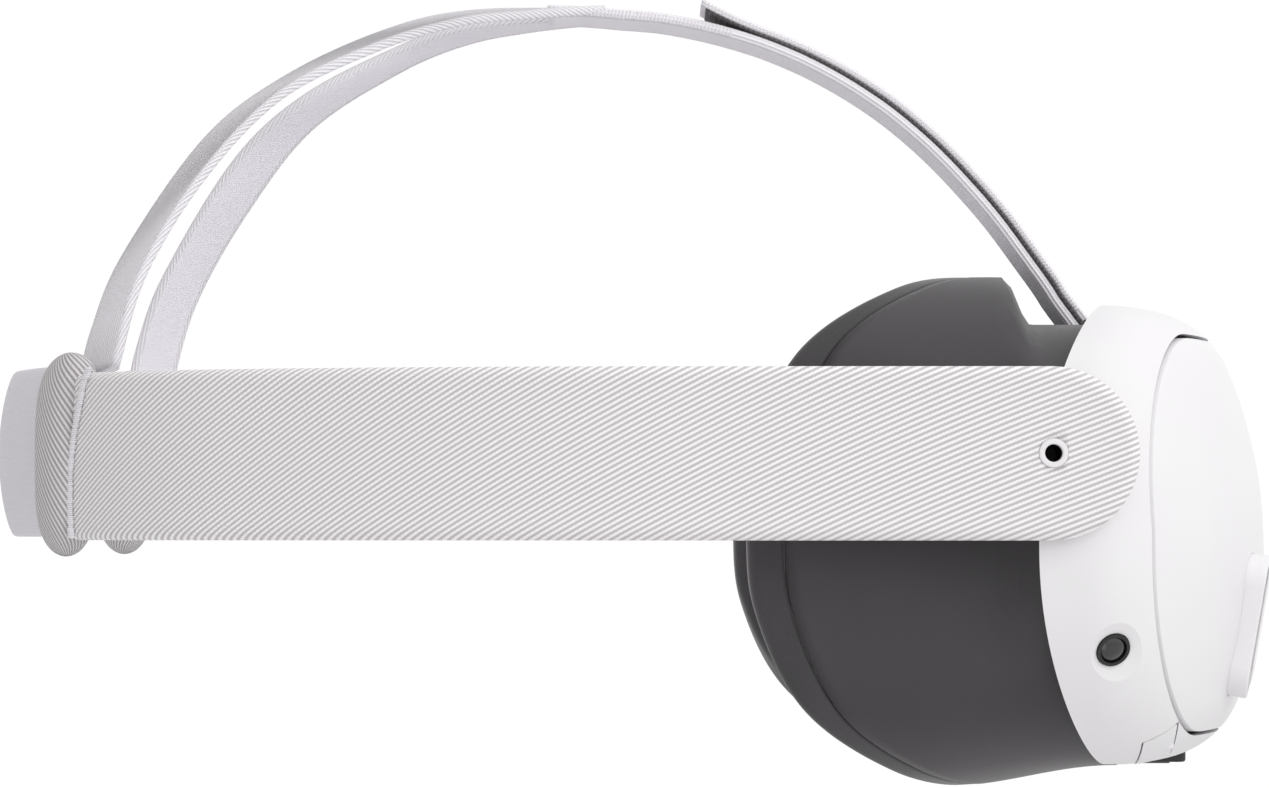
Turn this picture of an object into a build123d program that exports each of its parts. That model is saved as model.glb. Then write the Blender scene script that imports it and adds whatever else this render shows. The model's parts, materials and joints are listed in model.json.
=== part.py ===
from build123d import *
import math
import os

os.makedirs("parts", exist_ok=True)

# Headset worn on a head. Origin: midway between the centres of the wearer's eyes.
# +Z is up, the front of the visor faces -Y, and the wearer's right is -X. Millimetres.

# ---- driving dimensions ------------------------------------------------------------
gap = 0.3                  # between neighbours that do not touch
visor_width = 184.0
visor_height = 98.0
visor_mid_z = -0.5         # middle of the visor's height
visor_corner = 46.0        # corner radius of the front outline
visor_front_y = -86.4      # foremost point of the front plate
plan_radius = 127.0        # front surface, seen from above
section_radius = 101.0     # front surface, seen from the side
section_mid_z = -3.0       # height of the foremost point
visor_round = 20.0         # rounding between the front and the sides
rear_radius_y = 190.0      # rear edge of the housing, seen from above
rear_edge_y = -53.0        # rear edge of the housing at the middle
shell_wall = 2.0
plate_inset = 7.0          # from the visor's outline to the plate's edge
plate_wall = 2.4
plate_gap = 0.9            # dark seam round the plate
frame_wall = 2.0

pod_width = 13.6
pod_height = 31.0
pod_z = -20.5
pod_x = 41.0
pod_face_y = -80.8         # face centre of the side pods
pod_centre_face_y = -86.3  # face centre of the middle pod
pod_down_tilt = 10.0       # faces look down
pod_out_tilt = 10.0        # side pods look outwards
pod_depth = 9.0
pod_rim = 1.3

lens_spacing = 64.0        # rest value of the eye spacing
lens_travel = 5.5          # each lens, either way
barrel_radius = 23.5
barrel_front_y = -58.0
barrel_rear_y = -31.0
barrel_wall = 2.0
rod_y = -57.9              # guide rods of the lenses
rod_z = 26.5
rod_radius = 1.2
web_front_y = -60.2        # webs that carry the racks and run on the rods
web_rear_y = -55.6
lens_dome_radius = 60.0

wheel_radius = 13.8
wheel_z = -38.0
wheel_front_y = -66.0
wheel_width = 5.6
tooth_module = 0.8
pinion_teeth = 10
pinion_rear_y = -56.6
pinion_width = 3.0
axle_radius = 1.5
running_fit = 0.05

pivot_y = -31.7            # tilt axis of the headband, also the jack's axis
pivot_z = 16.0
pivot_radius = 6.5
hub_bore_radius = 5.0      # passage for the sockets' barrels
jack_radius = 1.78
jack_depth = 13.0

strap_height = 35.4
strap_z = 16.0
strap_thickness = 5.6
arm_thickness = 2.6
arm_end_y = 48.0
strap_x = 95.4             # middle of the strap's thickness at the visor
strap_bend_y = 43.0        # straight as far as here
side_radius = 285.0        # gentle bend along the side of the head
back_radius = 84.6         # round the back of the head
band_thickness = 4.0
band_low_z = -1.0
band_high_z = 35.5

roll_thickness = 10.4
roll_length = 13.5         # along the band
roll_low_z = -6.0
roll_high_z = 39.0
roll_angle = 38.4          # place along the back arc, from straight back
slot_clearance = 0.5

face_width = 156.0
face_height = 108.4
face_corner = 36.0
face_neck_low_z = -50.0    # interface frame where it meets the housing
face_neck_high_z = 44.0
face_neck_width = 160.0
face_flare_y = -29.0
face_lip_y = -20.0
face_middle_y = -19.5       # face side of the cushion at the forehead
face_blend = 25.0
face_radius = 79.3         # face side of the cushion, seen from above
face_centre_y = 47.6
face_depth = 9.0           # cushion, front to back
face_wall = 2.4
cushion_thickness = 12.0
nose_width = 38.0
nose_top_z = -22.0

top_start = (-42.4, 47.8)  # the top strap's middle where it leaves the visor (Y, Z)
top_heading = 53.0
top_straight = 22.0
top_front_radius = 127.0
top_rear_radius = 100.0
top_rear_turn = 74.0
top_width = 22.0
top_thickness = 2.5
pad_thickness = 0.8
flap_thickness = 1.6
fork_y = 66.0
branch_width = 15.0
branch_end_x = 46.0
top_break_low_z = 55.0     # the strap is free between these two heights
top_break_high_z = 62.0


# ---- helpers -----------------------------------------------------------------------
def facing(y):
    """Plane across the headset at depth y, looking forwards (-Y)."""
    return Plane.XZ.offset(-y)


def keep(part, name):
    """Label one finished piece and write it."""
    part.label = name
    export_step(part, f"parts/{name}.step")


def keep_pair(part, name):
    """Write a piece of the wearer's right side and its mirror image."""
    keep(part, name + "_right")
    keep(mirror(part, about=Plane.YZ), name + "_left")


def visor_form(inset):
    """The visor's pillow shape, with its front and sides moved in by inset."""
    axis_y = visor_front_y + plan_radius
    radius = section_radius - inset
    centre_y = axis_y + plan_radius - section_radius
    reach = 56.0
    arc_y = centre_y + math.sqrt(radius**2 - reach**2)
    with BuildPart() as form:
        with BuildSketch(Plane.YZ):
            with BuildLine():
                front = ThreePointArc(
                    (arc_y, section_mid_z - reach),
                    (centre_y + radius, section_mid_z),
                    (arc_y, section_mid_z + reach),
                )
                Polyline(front @ 1, (axis_y + 30, section_mid_z + reach),
                         (axis_y + 30, section_mid_z - reach), front @ 0)
            make_face()
        revolve(axis=Axis((0, axis_y, 0), (0, 0, 1)))
        with BuildSketch(facing(0)):
            with Locations((0, visor_mid_z)):
                RectangleRounded(visor_width - 2 * inset, visor_height - 2 * inset, visor_corner - inset)
        extrude(amount=120, mode=Mode.INTERSECT)
        front_face = form.faces().sort_by(Axis.Y)[0]
        fillet(front_face.edges(), radius=visor_round - inset)
    return form.part


def rear_disc(offset):
    """Everything behind the housing's curved rear edge, moved back by offset."""
    radius = rear_radius_y - offset
    with BuildPart() as disc:
        with Locations((0, rear_edge_y + rear_radius_y, 0)):
            Cylinder(radius=radius, height=200)
    return disc.part


def head_loop(offset, low_z, high_z, start_y=-70.0):
    """Filled outline of the headband seen from above, moved out by offset."""
    x = strap_x + offset
    turn = math.acos((side_radius - strap_x) / (side_radius - back_radius))
    r1 = side_radius + offset
    r2 = back_radius + offset
    back_y = strap_bend_y + (side_radius - back_radius) * math.sin(turn)
    side_x = side_radius - strap_x
    with BuildPart() as loop:
        with BuildSketch(Plane.XY.offset(low_z)):
            with BuildLine():
                meet = (side_x - r1 * math.cos(turn), strap_bend_y + r1 * math.sin(turn))
                half = (side_x - r1 * math.cos(turn / 2), strap_bend_y + r1 * math.sin(turn / 2))
                Polyline((0, start_y), (-x, start_y), (-x, strap_bend_y))
                ThreePointArc((-x, strap_bend_y), half, meet)
                mid = turn + (math.pi / 2 - turn) / 2
                ThreePointArc(meet, (-r2 * math.cos(mid), back_y + r2 * math.sin(mid)), (0, back_y + r2))
                Line((0, back_y + r2), (0, start_y))
            make_face()
            mirror(about=Plane.YZ)
        extrude(amount=high_z - low_z)
    return loop.part


def loop_band(inner, outer, low_z, high_z):
    """Band that follows the headband's path, between two offsets of its middle."""
    return head_loop(outer, low_z, high_z) - head_loop(inner, low_z - 1, high_z + 1)


def back_centre_y():
    """Centre of the arc round the back of the head."""
    turn = math.acos((side_radius - strap_x) / (side_radius - back_radius))
    return strap_bend_y + (side_radius - back_radius) * math.sin(turn)


def wedge(angle_from, angle_to, low_z, high_z):
    """Sector about the back arc's centre, on the wearer's right, angles from straight back."""
    reach = 200.0
    a = math.radians(angle_from)
    b = math.radians(angle_to)
    with BuildPart() as sector:
        with BuildSketch(Plane.XY.offset(low_z)):
            with BuildLine():
                Polyline(
                    (0, back_centre_y()),
                    (-reach * math.sin(a), back_centre_y() + reach * math.cos(a)),
                    (-reach * math.sin(b), back_centre_y() + reach * math.cos(b)),
                    close=True,
                )
            make_face()
        extrude(amount=high_z - low_z)
    return sector.part


def arch_band(inner, outer, half_width):
    """Strap over the head: side profile between two offsets, made half_width either way."""
    heading = math.radians(top_heading)
    along = Vector(math.cos(heading), math.sin(heading))
    out = Vector(-math.sin(heading), math.cos(heading))
    start = Vector(*top_start)
    with BuildPart() as band:
        with BuildSketch(Plane.YZ):
            with BuildLine():
                edges = []
                for offset in (outer, inner):
                    first = start + out * offset
                    line = Line(first, first + along * top_straight)
                    front = JernArc(line @ 1, line % 1, top_front_radius + offset, -top_heading)
                    rear = JernArc(front @ 1, front % 1, top_rear_radius + offset, -top_rear_turn)
                    edges.append((line @ 0, rear @ 1))
                Line(edges[0][0], edges[1][0])
                Line(edges[0][1], edges[1][1])
            make_face()
        extrude(amount=half_width, both=True)
    return band.part


def face_form(inset):
    """Outer form of the facial interface: a neck at the housing that flares to the face."""
    neck_mid = (face_neck_high_z + face_neck_low_z) / 2
    neck_height = face_neck_high_z - face_neck_low_z
    with BuildPart() as form:
        for y in (rear_edge_y - 3, face_flare_y):
            with BuildSketch(facing(y)):
                with Locations((0, neck_mid)):
                    neck_width = face_neck_width - 2 * inset
                    RectangleRounded(neck_width, neck_height - 2 * inset, face_corner - inset)
        for y in (face_lip_y, face_lip_y + 70):
            with BuildSketch(facing(y)):
                RectangleRounded(face_width - 2 * inset, face_height - 2 * inset, face_corner - inset)
        loft(ruled=True)
    return form.part


def face_disc(offset):
    """Upright cylinder whose wall is the face side of the cushion, moved forwards by offset."""
    with BuildPart() as disc:
        with Locations((0, face_centre_y, 0)):
            Cylinder(radius=face_radius + offset, height=220)
        add(block(-200, 200, face_middle_y - offset, 300, -120, 120), mode=Mode.INTERSECT)
        fillet(disc.edges().filter_by(Axis.Z).group_by(Axis.Y)[0], radius=face_blend)
    return disc.part


def block(x0, x1, y0, y1, z0, z1):
    """Box between opposite corners."""
    with BuildPart() as box:
        with Locations(((x0 + x1) / 2, (y0 + y1) / 2, (z0 + z1) / 2)):
            Box(x1 - x0, y1 - y0, z1 - z0)
    return box.part


def plate_outline(inset, depth=120.0):
    """The visor's front outline moved in by inset, as a prism running forwards from y = 0."""
    with BuildPart() as prism:
        with BuildSketch(facing(0)):
            with Locations((0, visor_mid_z)):
                RectangleRounded(visor_width - 2 * inset, visor_height - 2 * inset, visor_corner - inset)
        extrude(amount=depth)
    return prism.part


# ---- visor: sensor pods ------------------------------------------------------------
def pod_plane(x):
    """Plane of a pod's face: x across, y up, z the way it looks."""
    down = math.radians(pod_down_tilt)
    side = math.radians(pod_out_tilt) * (0 if x == 0 else math.copysign(1, x))
    y = pod_centre_face_y if x == 0 else pod_face_y
    look = (math.sin(side) * math.cos(down), -math.cos(side) * math.cos(down), -math.sin(down))
    return Plane(origin=(x, y, pod_z), x_dir=(math.cos(side), math.sin(side), 0), z_dir=look)


def pill(plane, width, height, depth, start=0.0):
    """Upright pill running back from the plane."""
    with BuildPart() as body:
        with BuildSketch(plane.offset(-start)):
            SlotOverall(height, width, rotation=90)
        extrude(amount=-depth)
    return body.part


pods = {"right": -pod_x, "centre": 0.0, "left": pod_x}
window_depth = 1.2
camera_radius = 4.2
camera_pitch = 12.0        # between the two cameras of a pod

for side, x in pods.items():
    plane = pod_plane(x)
    with BuildPart() as sensor_pod:
        add(pill(plane, pod_width, pod_height, pod_depth))
        outer_edges = sensor_pod.faces().sort_by(Axis(plane.origin, plane.z_dir))[-1].edges()
        fillet(outer_edges, radius=0.5)
        add(pill(plane, pod_width - 2 * pod_rim, pod_height - 2 * pod_rim, pod_depth), mode=Mode.SUBTRACT)
    keep(sensor_pod.part, f"sensor_pod_{side}")

    with BuildPart() as sensor_window:
        add(pill(plane, pod_width - 2 * pod_rim - 0.1, pod_height - 2 * pod_rim - 0.1, window_depth, 0.3))
    keep(sensor_window.part, f"sensor_window_{side}")

    with BuildPart() as camera:
        with BuildSketch(plane.offset(-pod_depth)):
            SlotOverall(pod_height - 2 * pod_rim - 1.0, pod_width - 2 * pod_rim - 1.0, rotation=90)
        extrude(amount=2.0)
        with BuildSketch(plane.offset(2.0 - pod_depth)):
            with Locations((0, camera_pitch / 2), (0, -camera_pitch / 2)):
                Circle(camera_radius)
        extrude(amount=3.0)
        with BuildSketch(plane.offset(5.0 - pod_depth)):
            with Locations((0, camera_pitch / 2), (0, -camera_pitch / 2)):
                Circle(camera_radius - 1.2)
        extrude(amount=1.8)
    keep(camera.part, "depth_projector" if side == "centre" else f"front_cameras_{side}")

# ---- visor: housing, plate and frame -----------------------------------------------
outer_form = visor_form(0)
inner_form = visor_form(shell_wall)

side_camera_angle = math.radians(27.0)   # below the horizontal, in the front view
side_camera_forward = 18.0               # degrees that it looks forwards
side_camera_radius = 3.6
dish_radius = 22.0
dish_depth = 0.6          # below the camera's rim
side_camera_plane = Plane(
    origin=(-85.3, -45.0, -24.2),
    x_dir=(math.sin(side_camera_angle), 0, -math.cos(side_camera_angle)),
    z_dir=(
        -math.cos(side_camera_angle) * math.cos(math.radians(side_camera_forward)),
        -math.sin(math.radians(side_camera_forward)),
        -math.sin(side_camera_angle) * math.cos(math.radians(side_camera_forward)),
    ),
)

key_angle = math.radians(13.0)           # keys on the lower corners, from straight down
key_span = 12.0                          # degrees either way
key_low_y = -61.0
key_high_y = -53.0
key_gap = 0.35
key_reach = 5.5            # inwards from the visor's outline
key_room = 2.0             # the slots run this much deeper, so a pressed key stays free
key_pin_radius = 0.9       # round spine the volume rocker turns on
key_pin_depth = 3.4        # of its axis, below the visor's outline
power_span = 7.5
corner_x = visor_width / 2 - visor_corner
corner_z = visor_mid_z - visor_height / 2 + visor_corner


def on_corner(radius, turn):
    """Point seen from behind at a radius and a turn about the visor's lower right corner."""
    return (-corner_x + radius * math.cos(turn), corner_z + radius * math.sin(turn))


def corner_sector(inner, outer, span, y0, y1):
    """Piece of a ring round the visor's lower right corner, for a key and its slot."""
    middle = -math.pi / 2 - key_angle
    half = math.radians(span)
    with BuildPart() as sector:
        with BuildSketch(facing(y1)):
            with BuildLine():
                points = []
                for radius in (inner, outer):
                    ends = [on_corner(radius, middle + t) for t in (-half, 0, half)]
                    ThreePointArc(*ends)
                    points.append((ends[0], ends[2]))
                Line(points[0][0], points[1][0])
                Line(points[0][1], points[1][1])
            make_face()
        extrude(amount=y1 - y0)
    return sector.part


bezel_front_y = -68.3
bezel_rear_y = -54.6
bezel_half_width = 15.0
bezel_low_z = -50.7

with BuildPart() as housing_shell:
    add(outer_form)
    add(inner_form, mode=Mode.SUBTRACT)
    add(rear_disc(0), mode=Mode.SUBTRACT)
    add(plate_outline(plate_inset - plate_gap), mode=Mode.SUBTRACT)
    # seat of the thumb wheel's bezel
    seat_half = bezel_half_width + gap
    add(block(-seat_half, seat_half, bezel_front_y - gap, bezel_rear_y + gap, -60, -44),
        mode=Mode.SUBTRACT)
    # side camera holes with their shallow dishes, pivot notches and key slots
    for flip in (False, True):
        with BuildPart(mode=Mode.PRIVATE) as cuts:
            with BuildSketch(side_camera_plane.offset(-8)):
                Circle(side_camera_radius + 0.15)
            extrude(amount=16)
            with BuildSketch(Plane.YZ.offset(-100)):
                with Locations((pivot_y, pivot_z)):
                    Circle(pivot_radius + 1.2)
            extrude(amount=20)
            span = power_span if flip else key_span
            floor_radius = visor_corner - key_reach - key_room
            add(corner_sector(floor_radius, visor_corner + 5, span, key_low_y, key_high_y))
            # shallow dish round the camera
            dish_centre = side_camera_plane.offset(dish_radius - dish_depth).origin
            with Locations(dish_centre):
                Sphere(dish_radius)
        add(mirror(cuts.part, about=Plane.YZ) if flip else cuts.part, mode=Mode.SUBTRACT)
keep(housing_shell.part, "housing_shell")

with BuildPart() as front_plate:
    add(outer_form)
    add(plate_outline(plate_inset), mode=Mode.INTERSECT)
    add(visor_form(plate_wall), mode=Mode.SUBTRACT)
    for x in pods.values():
        add(pill(pod_plane(x), pod_width + 0.2, pod_height + 0.2, 24, -6), mode=Mode.SUBTRACT)
keep(front_plate.part, "front_plate")

mid_skin = plate_wall + 0.1
with BuildPart() as mid_frame:
    add(visor_form(mid_skin))
    add(visor_form(mid_skin + frame_wall), mode=Mode.SUBTRACT)
    add(block(-100, 100, -100, web_front_y - 0.8, -60, 60), mode=Mode.INTERSECT)
    for x in pods.values():
        add(pill(pod_plane(x), pod_width + 0.6, pod_height + 0.6, 24, -6), mode=Mode.SUBTRACT)
    add(block(-bezel_half_width - 1, bezel_half_width + 1, -72, -50, -60, -40), mode=Mode.SUBTRACT)
    for sx in (-1, 1):
        add(block(min(sx * 40, sx * 90), max(sx * 40, sx * 90), -63, -50, -60, -30), mode=Mode.SUBTRACT)
keep(mid_frame.part, "mid_frame")

# ---- visor: electronics ------------------------------------------------------------
board_low_z = -22.0
board_high_z = 28.0
board_mid_z = (board_low_z + board_high_z) / 2
board_width = 108.0
board_rear_y = -62.8
board_thickness = 1.4
chip_size = 13.0
chip_height = 0.9
screw_grid = (98.0, 40.0)  # between the board's screws, across and up
with BuildPart() as mainboard:
    with BuildSketch(facing(board_rear_y)):
        with Locations((0, board_mid_z)):
            RectangleRounded(board_width, board_high_z - board_low_z, 4)
            with GridLocations(*screw_grid, 2, 2):
                Circle(1.3, mode=Mode.SUBTRACT)
    extrude(amount=board_thickness)
    with BuildSketch(facing(board_rear_y)):
        with Locations((0, 14), (-26, 14), (26, 14), (0, -8)):
            Rectangle(chip_size, chip_size)
    extrude(amount=-chip_height)
keep(mainboard.part, "mainboard")

battery_size = (56.0, 32.0)
battery_rear_y = -66.6
battery_thickness = 5.2
with BuildPart() as battery:
    with BuildSketch(facing(battery_rear_y)):
        with Locations((0, -18)):
            RectangleRounded(*battery_size, 3)
    extrude(amount=battery_thickness)
    fillet(battery.faces().sort_by(Axis.Y)[0].edges(), radius=1.5)
keep(battery.part, "battery")

fan_x, fan_z = 0.0, 18.0
fan_radius = 13.5
fan_rear_y = -66.0
fan_pin_radius = 1.0
fan_boss_radius = 5.0
with BuildPart() as fan_housing:
    with BuildSketch(facing(fan_rear_y)):
        with Locations((fan_x, fan_z)):
            RectangleRounded(32, 31, 5)
    extrude(amount=6.4)
    with BuildSketch(facing(fan_rear_y - 1.0)):
        with Locations((fan_x, fan_z)):
            Circle(fan_radius + 0.6)
    extrude(amount=8, mode=Mode.SUBTRACT)
    with BuildSketch(facing(fan_rear_y - 1.0)):
        with Locations((fan_x, fan_z)):
            Circle(fan_pin_radius)
    extrude(amount=4.6)
keep(fan_housing.part, "fan_housing")

with BuildPart() as fan_rotor:
    with BuildSketch(facing(fan_rear_y - 1.6)):
        with Locations((fan_x, fan_z)):
            Circle(fan_boss_radius)
            Circle(fan_pin_radius + running_fit, mode=Mode.SUBTRACT)
    extrude(amount=4.2)
    blades = 11
    for i in range(blades):
        angle = 360 / blades * i
        with BuildSketch(facing(fan_rear_y - 1.8)):
            with Locations((fan_x, fan_z)):
                with Locations(Rotation(0, 0, angle)):
                    with Locations((9.0, 0)):
                        Rectangle(8.6, 0.8, rotation=18)
        extrude(amount=3.8)
keep(fan_rotor.part, "fan_rotor")

# ---- visor: rear cover, guide rods, bezel, anchors ---------------------------------
rear_cover_width = 160.0
rear_cover_height = 91.0
tongue_x = 68.0
tongue_width = 3.0
tongue_height = 16.0
with BuildPart() as rear_cover:
    with BuildSketch(facing(0)):
        with Locations((0, visor_mid_z)):
            RectangleRounded(rear_cover_width, rear_cover_height, 42)
    extrude(amount=80)
    add(rear_disc(-2.3), mode=Mode.INTERSECT)
    add(rear_disc(-0.5), mode=Mode.SUBTRACT)
    with BuildSketch(facing(0)):
        for x in (-lens_spacing / 2, lens_spacing / 2):
            with Locations((x, 0)):
                SlotOverall(2 * (barrel_radius + 0.7 + lens_travel), 2 * (barrel_radius + 0.7))
        with Locations((-tongue_x, 0), (tongue_x, 0)):
            Rectangle(tongue_width + 2 * gap, tongue_height + 2 * gap)
    extrude(amount=80, mode=Mode.SUBTRACT)
keep(rear_cover.part, "rear_cover")

with BuildPart() as ipd_bezel:
    add(block(-bezel_half_width, bezel_half_width, bezel_front_y, bezel_rear_y, bezel_low_z, -47.6))
    fillet(ipd_bezel.edges().filter_by(Axis.Z), radius=2.0)
    fillet(ipd_bezel.faces().sort_by(Axis.Z)[0].edges(), radius=0.6)
    window_half = math.sqrt((wheel_radius + 0.6)**2 - (wheel_z + 47.6)**2)
    add(block(-window_half, window_half, wheel_front_y - 0.5, wheel_front_y + wheel_width + 0.5, -60, -40),
        mode=Mode.SUBTRACT)
    # upright that carries the thumb wheel's axle
    with BuildSketch(facing(wheel_front_y - 0.6)):
        with Locations((0, (wheel_z + 3.6 - 48.0) / 2)):
            Rectangle(14, wheel_z + 3.6 + 48.0)
        with Locations((0, wheel_z)):
            Circle(axle_radius + running_fit, mode=Mode.SUBTRACT)
    extrude(amount=1.6)
keep(ipd_bezel.part, "ipd_bezel")

with BuildPart() as guide_rods:
    for z in (-rod_z, rod_z):
        with BuildSketch(Plane.YZ.offset(-66)):
            with Locations((rod_y, z)):
                Circle(rod_radius)
        extrude(amount=132)
keep(guide_rods.part, "guide_rods")

anchor_y = -47.4
anchor_z = 45.7
anchor_bar = 1.3           # radius of the bar that the strap loops round
anchor_half_width = 15.0
anchor_leg = 2.4
with BuildPart() as strap_anchor:
    with BuildSketch(Plane.YZ.offset(-anchor_half_width)):
        with Locations((anchor_y, anchor_z)):
            Circle(anchor_bar)
    extrude(amount=2 * anchor_half_width)
    for x in (-anchor_half_width, anchor_half_width - anchor_leg):
        leg_rear_y = anchor_y + anchor_bar
        add(block(x, x + anchor_leg, -52.2, leg_rear_y, anchor_z - anchor_bar, anchor_z + anchor_bar))
keep(strap_anchor.part, "strap_anchor")

screw_head_radius = 2.2
screw_shank_radius = 1.0
with BuildPart() as board_screws:
    for radius, length in ((screw_head_radius, -1.2), (screw_shank_radius, 3.2)):
        with BuildSketch(facing(board_rear_y + 0.2)):
            with Locations((0, board_mid_z)):
                with GridLocations(*screw_grid, 2, 2):
                    Circle(radius)
        extrude(amount=length)
keep(board_screws.part, "board_screws")

# ---- visor: side cameras and pivot hubs --------------------------------------------
with BuildPart() as side_camera:
    with BuildSketch(side_camera_plane.offset(-7)):
        Circle(side_camera_radius)
    extrude(amount=7.2)
    with BuildSketch(side_camera_plane.offset(-1.4)):
        Circle(side_camera_radius - 0.7)
    extrude(amount=4, mode=Mode.SUBTRACT)
keep_pair(side_camera.part, "side_camera")

dome_radius = 5.0
with BuildPart() as side_camera_lens:
    with BuildSketch(side_camera_plane.offset(-1.3)):
        Circle(side_camera_radius - 0.8)
    extrude(amount=1.0)
    dome_base = side_camera_plane.offset(-0.3)
    cap_radius = side_camera_radius - 0.8
    drop = math.sqrt(dome_radius**2 - cap_radius**2)
    with BuildSketch(Plane(origin=dome_base.origin, x_dir=dome_base.x_dir, z_dir=dome_base.y_dir)):
        with BuildLine():
            arc = ThreePointArc(
                (cap_radius, 0),
                (dome_radius * math.sin(0.35), -(dome_radius * math.cos(0.35) - drop)),
                (0, -(dome_radius - drop)),
            )
            Polyline(arc @ 1, (0, 0), arc @ 0)
        make_face()
    revolve(axis=Axis(dome_base.origin, dome_base.z_dir))
keep_pair(side_camera_lens.part, "side_camera_lens")

hub_outer_x = strap_x + arm_thickness / 2 - 0.2
flange_x = face_neck_width / 2 + 0.8
flange_height = 16.0
with BuildPart() as pivot_hub:
    add(block(-flange_x - 3, -flange_x, -42, -23, pivot_z - flange_height / 2, pivot_z + flange_height / 2))
    fillet(pivot_hub.edges().filter_by(Axis.X), radius=4)
    with BuildSketch(Plane.YZ.offset(-hub_outer_x)):
        with Locations((pivot_y, pivot_z)):
            Circle(pivot_radius)
    extrude(amount=hub_outer_x - flange_x)
    with BuildSketch(Plane.YZ.offset(-hub_outer_x - 1)):
        with Locations((pivot_y, pivot_z)):
            Circle(hub_bore_radius)
    extrude(amount=20, mode=Mode.SUBTRACT)
keep_pair(pivot_hub.part, "pivot_hub")

# ---- keys --------------------------------------------------------------------------
key_form = visor_form(-0.15) - visor_form(shell_wall + 0.4)


def corner_key(span):
    """Key that follows the housing's lower right corner, a little proud of it."""
    low_y = key_low_y + key_gap
    high_y = key_high_y - key_gap
    cutter = corner_sector(visor_corner - key_reach, visor_corner + 5, span, low_y, high_y)
    with BuildPart() as key:
        add(key_form)
        add(cutter, mode=Mode.INTERSECT)
    return key.part


key_side_gap = 0.5         # degrees at each end
with BuildPart() as volume_rocker:
    add(corner_key(key_span - key_side_gap))
    with BuildSketch(facing(key_high_y - key_gap)):
        with Locations(on_corner(visor_corner - key_pin_depth, -math.pi / 2 - key_angle)):
            Circle(key_pin_radius)
    extrude(amount=key_high_y - key_low_y - 2 * key_gap)
keep(volume_rocker.part, "volume_rocker")

keep(mirror(corner_key(power_span - key_side_gap), about=Plane.YZ), "power_button")

# ---- eye spacing: lenses, racks and thumb wheel ------------------------------------
pitch_radius = tooth_module * pinion_teeth / 2


def involute_tooth(turn):
    """Outline of one pinion tooth, in the wheel's plane, centred on the given angle."""
    pressure = math.radians(20)
    base = pitch_radius * math.cos(pressure)
    tip = pitch_radius + 0.9 * tooth_module
    backlash = 0.05
    half_at_pitch = math.pi / (2 * pinion_teeth) - backlash / pitch_radius
    inv = math.tan(pressure) - pressure
    flank = []
    for i in range(5):
        radius = base + (tip - base) * i / 4
        alpha = math.acos(min(1.0, base / radius))
        half = half_at_pitch + inv - (math.tan(alpha) - alpha)
        flank.append((radius, half))
    right = [(r * math.cos(turn - h), r * math.sin(turn - h)) for r, h in flank]
    left = [(r * math.cos(turn + h), r * math.sin(turn + h)) for r, h in reversed(flank)]
    root = pitch_radius - 1.4 * tooth_module
    foot = flank[0][1]
    start = (root * math.cos(turn - foot), root * math.sin(turn - foot))
    end = (root * math.cos(turn + foot), root * math.sin(turn + foot))
    return [start] + right + left + [end]


with BuildPart() as thumb_wheel:
    with BuildSketch(facing(wheel_front_y + wheel_width)):
        with Locations((0, wheel_z)):
            Circle(wheel_radius - 0.5)
            knurls = 60
            with PolarLocations(wheel_radius - 0.6, knurls):
                Circle(0.5)
    extrude(amount=wheel_width)
    with BuildSketch(facing(pinion_rear_y)):
        with Locations((0, wheel_z)):
            Circle(pitch_radius - 1.3 * tooth_module)
        for i in range(pinion_teeth):
            with BuildLine():
                tooth = involute_tooth(math.pi / 2 + 2 * math.pi * i / pinion_teeth)
                Polyline(*[(px, pz + wheel_z) for px, pz in tooth], close=True)
            make_face()
    extrude(amount=pinion_rear_y - wheel_front_y - wheel_width)
    with BuildSketch(facing(wheel_front_y)):
        with Locations((0, wheel_z)):
            Circle(axle_radius)
    extrude(amount=2.0)
keep(thumb_wheel.part, "thumb_wheel")


def rack(side, pitch_z, teeth_dir):
    """Rack of one lens: side -1 or 1, its pitch line's height, and which way its teeth point."""
    pitch = math.pi * tooth_module
    slope = math.tan(math.radians(20))
    half = pitch / 4 - 0.05
    tip = 0.9 * tooth_module
    root = 1.3 * tooth_module
    back = 4.1
    centre_x = side * lens_spacing / 2
    with BuildPart() as bar:
        with BuildSketch(facing(pinion_rear_y)):
            low = min(pitch_z - teeth_dir * root, pitch_z - teeth_dir * back)
            high = max(pitch_z - teeth_dir * root, pitch_z - teeth_dir * back)
            left, right = min(centre_x, -side * 11.0), max(centre_x, -side * 11.0)
            with Locations(((left + right) / 2, (low + high) / 2)):
                Rectangle(right - left, high - low)
            for i in range(-4, 4):
                x = (i + 0.5) * pitch
                with BuildLine():
                    Polyline(
                        (x - half - root * slope, pitch_z - teeth_dir * (root + 0.2)),
                        (x - half + tip * slope, pitch_z + teeth_dir * tip),
                        (x + half - tip * slope, pitch_z + teeth_dir * tip),
                        (x + half + root * slope, pitch_z - teeth_dir * (root + 0.2)),
                        close=True,
                    )
                make_face()
        extrude(amount=pinion_width)
        add(block(centre_x - 5, centre_x + 5, web_front_y, web_rear_y, low, -rod_z + 5.5))
        with BuildSketch(Plane.YZ.offset(centre_x - 20)):
            with Locations((rod_y, -rod_z)):
                Circle(rod_radius + running_fit)
        extrude(amount=40, mode=Mode.SUBTRACT)
        with BuildSketch(facing(-20)):
            with Locations((centre_x, 0)):
                Circle(barrel_radius + 0.02)
        extrude(amount=60, mode=Mode.SUBTRACT)
    return bar.part


keep(rack(-1, wheel_z + pitch_radius, -1), "lens_rack_right")
keep(rack(1, wheel_z - pitch_radius, 1), "lens_rack_left")

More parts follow.
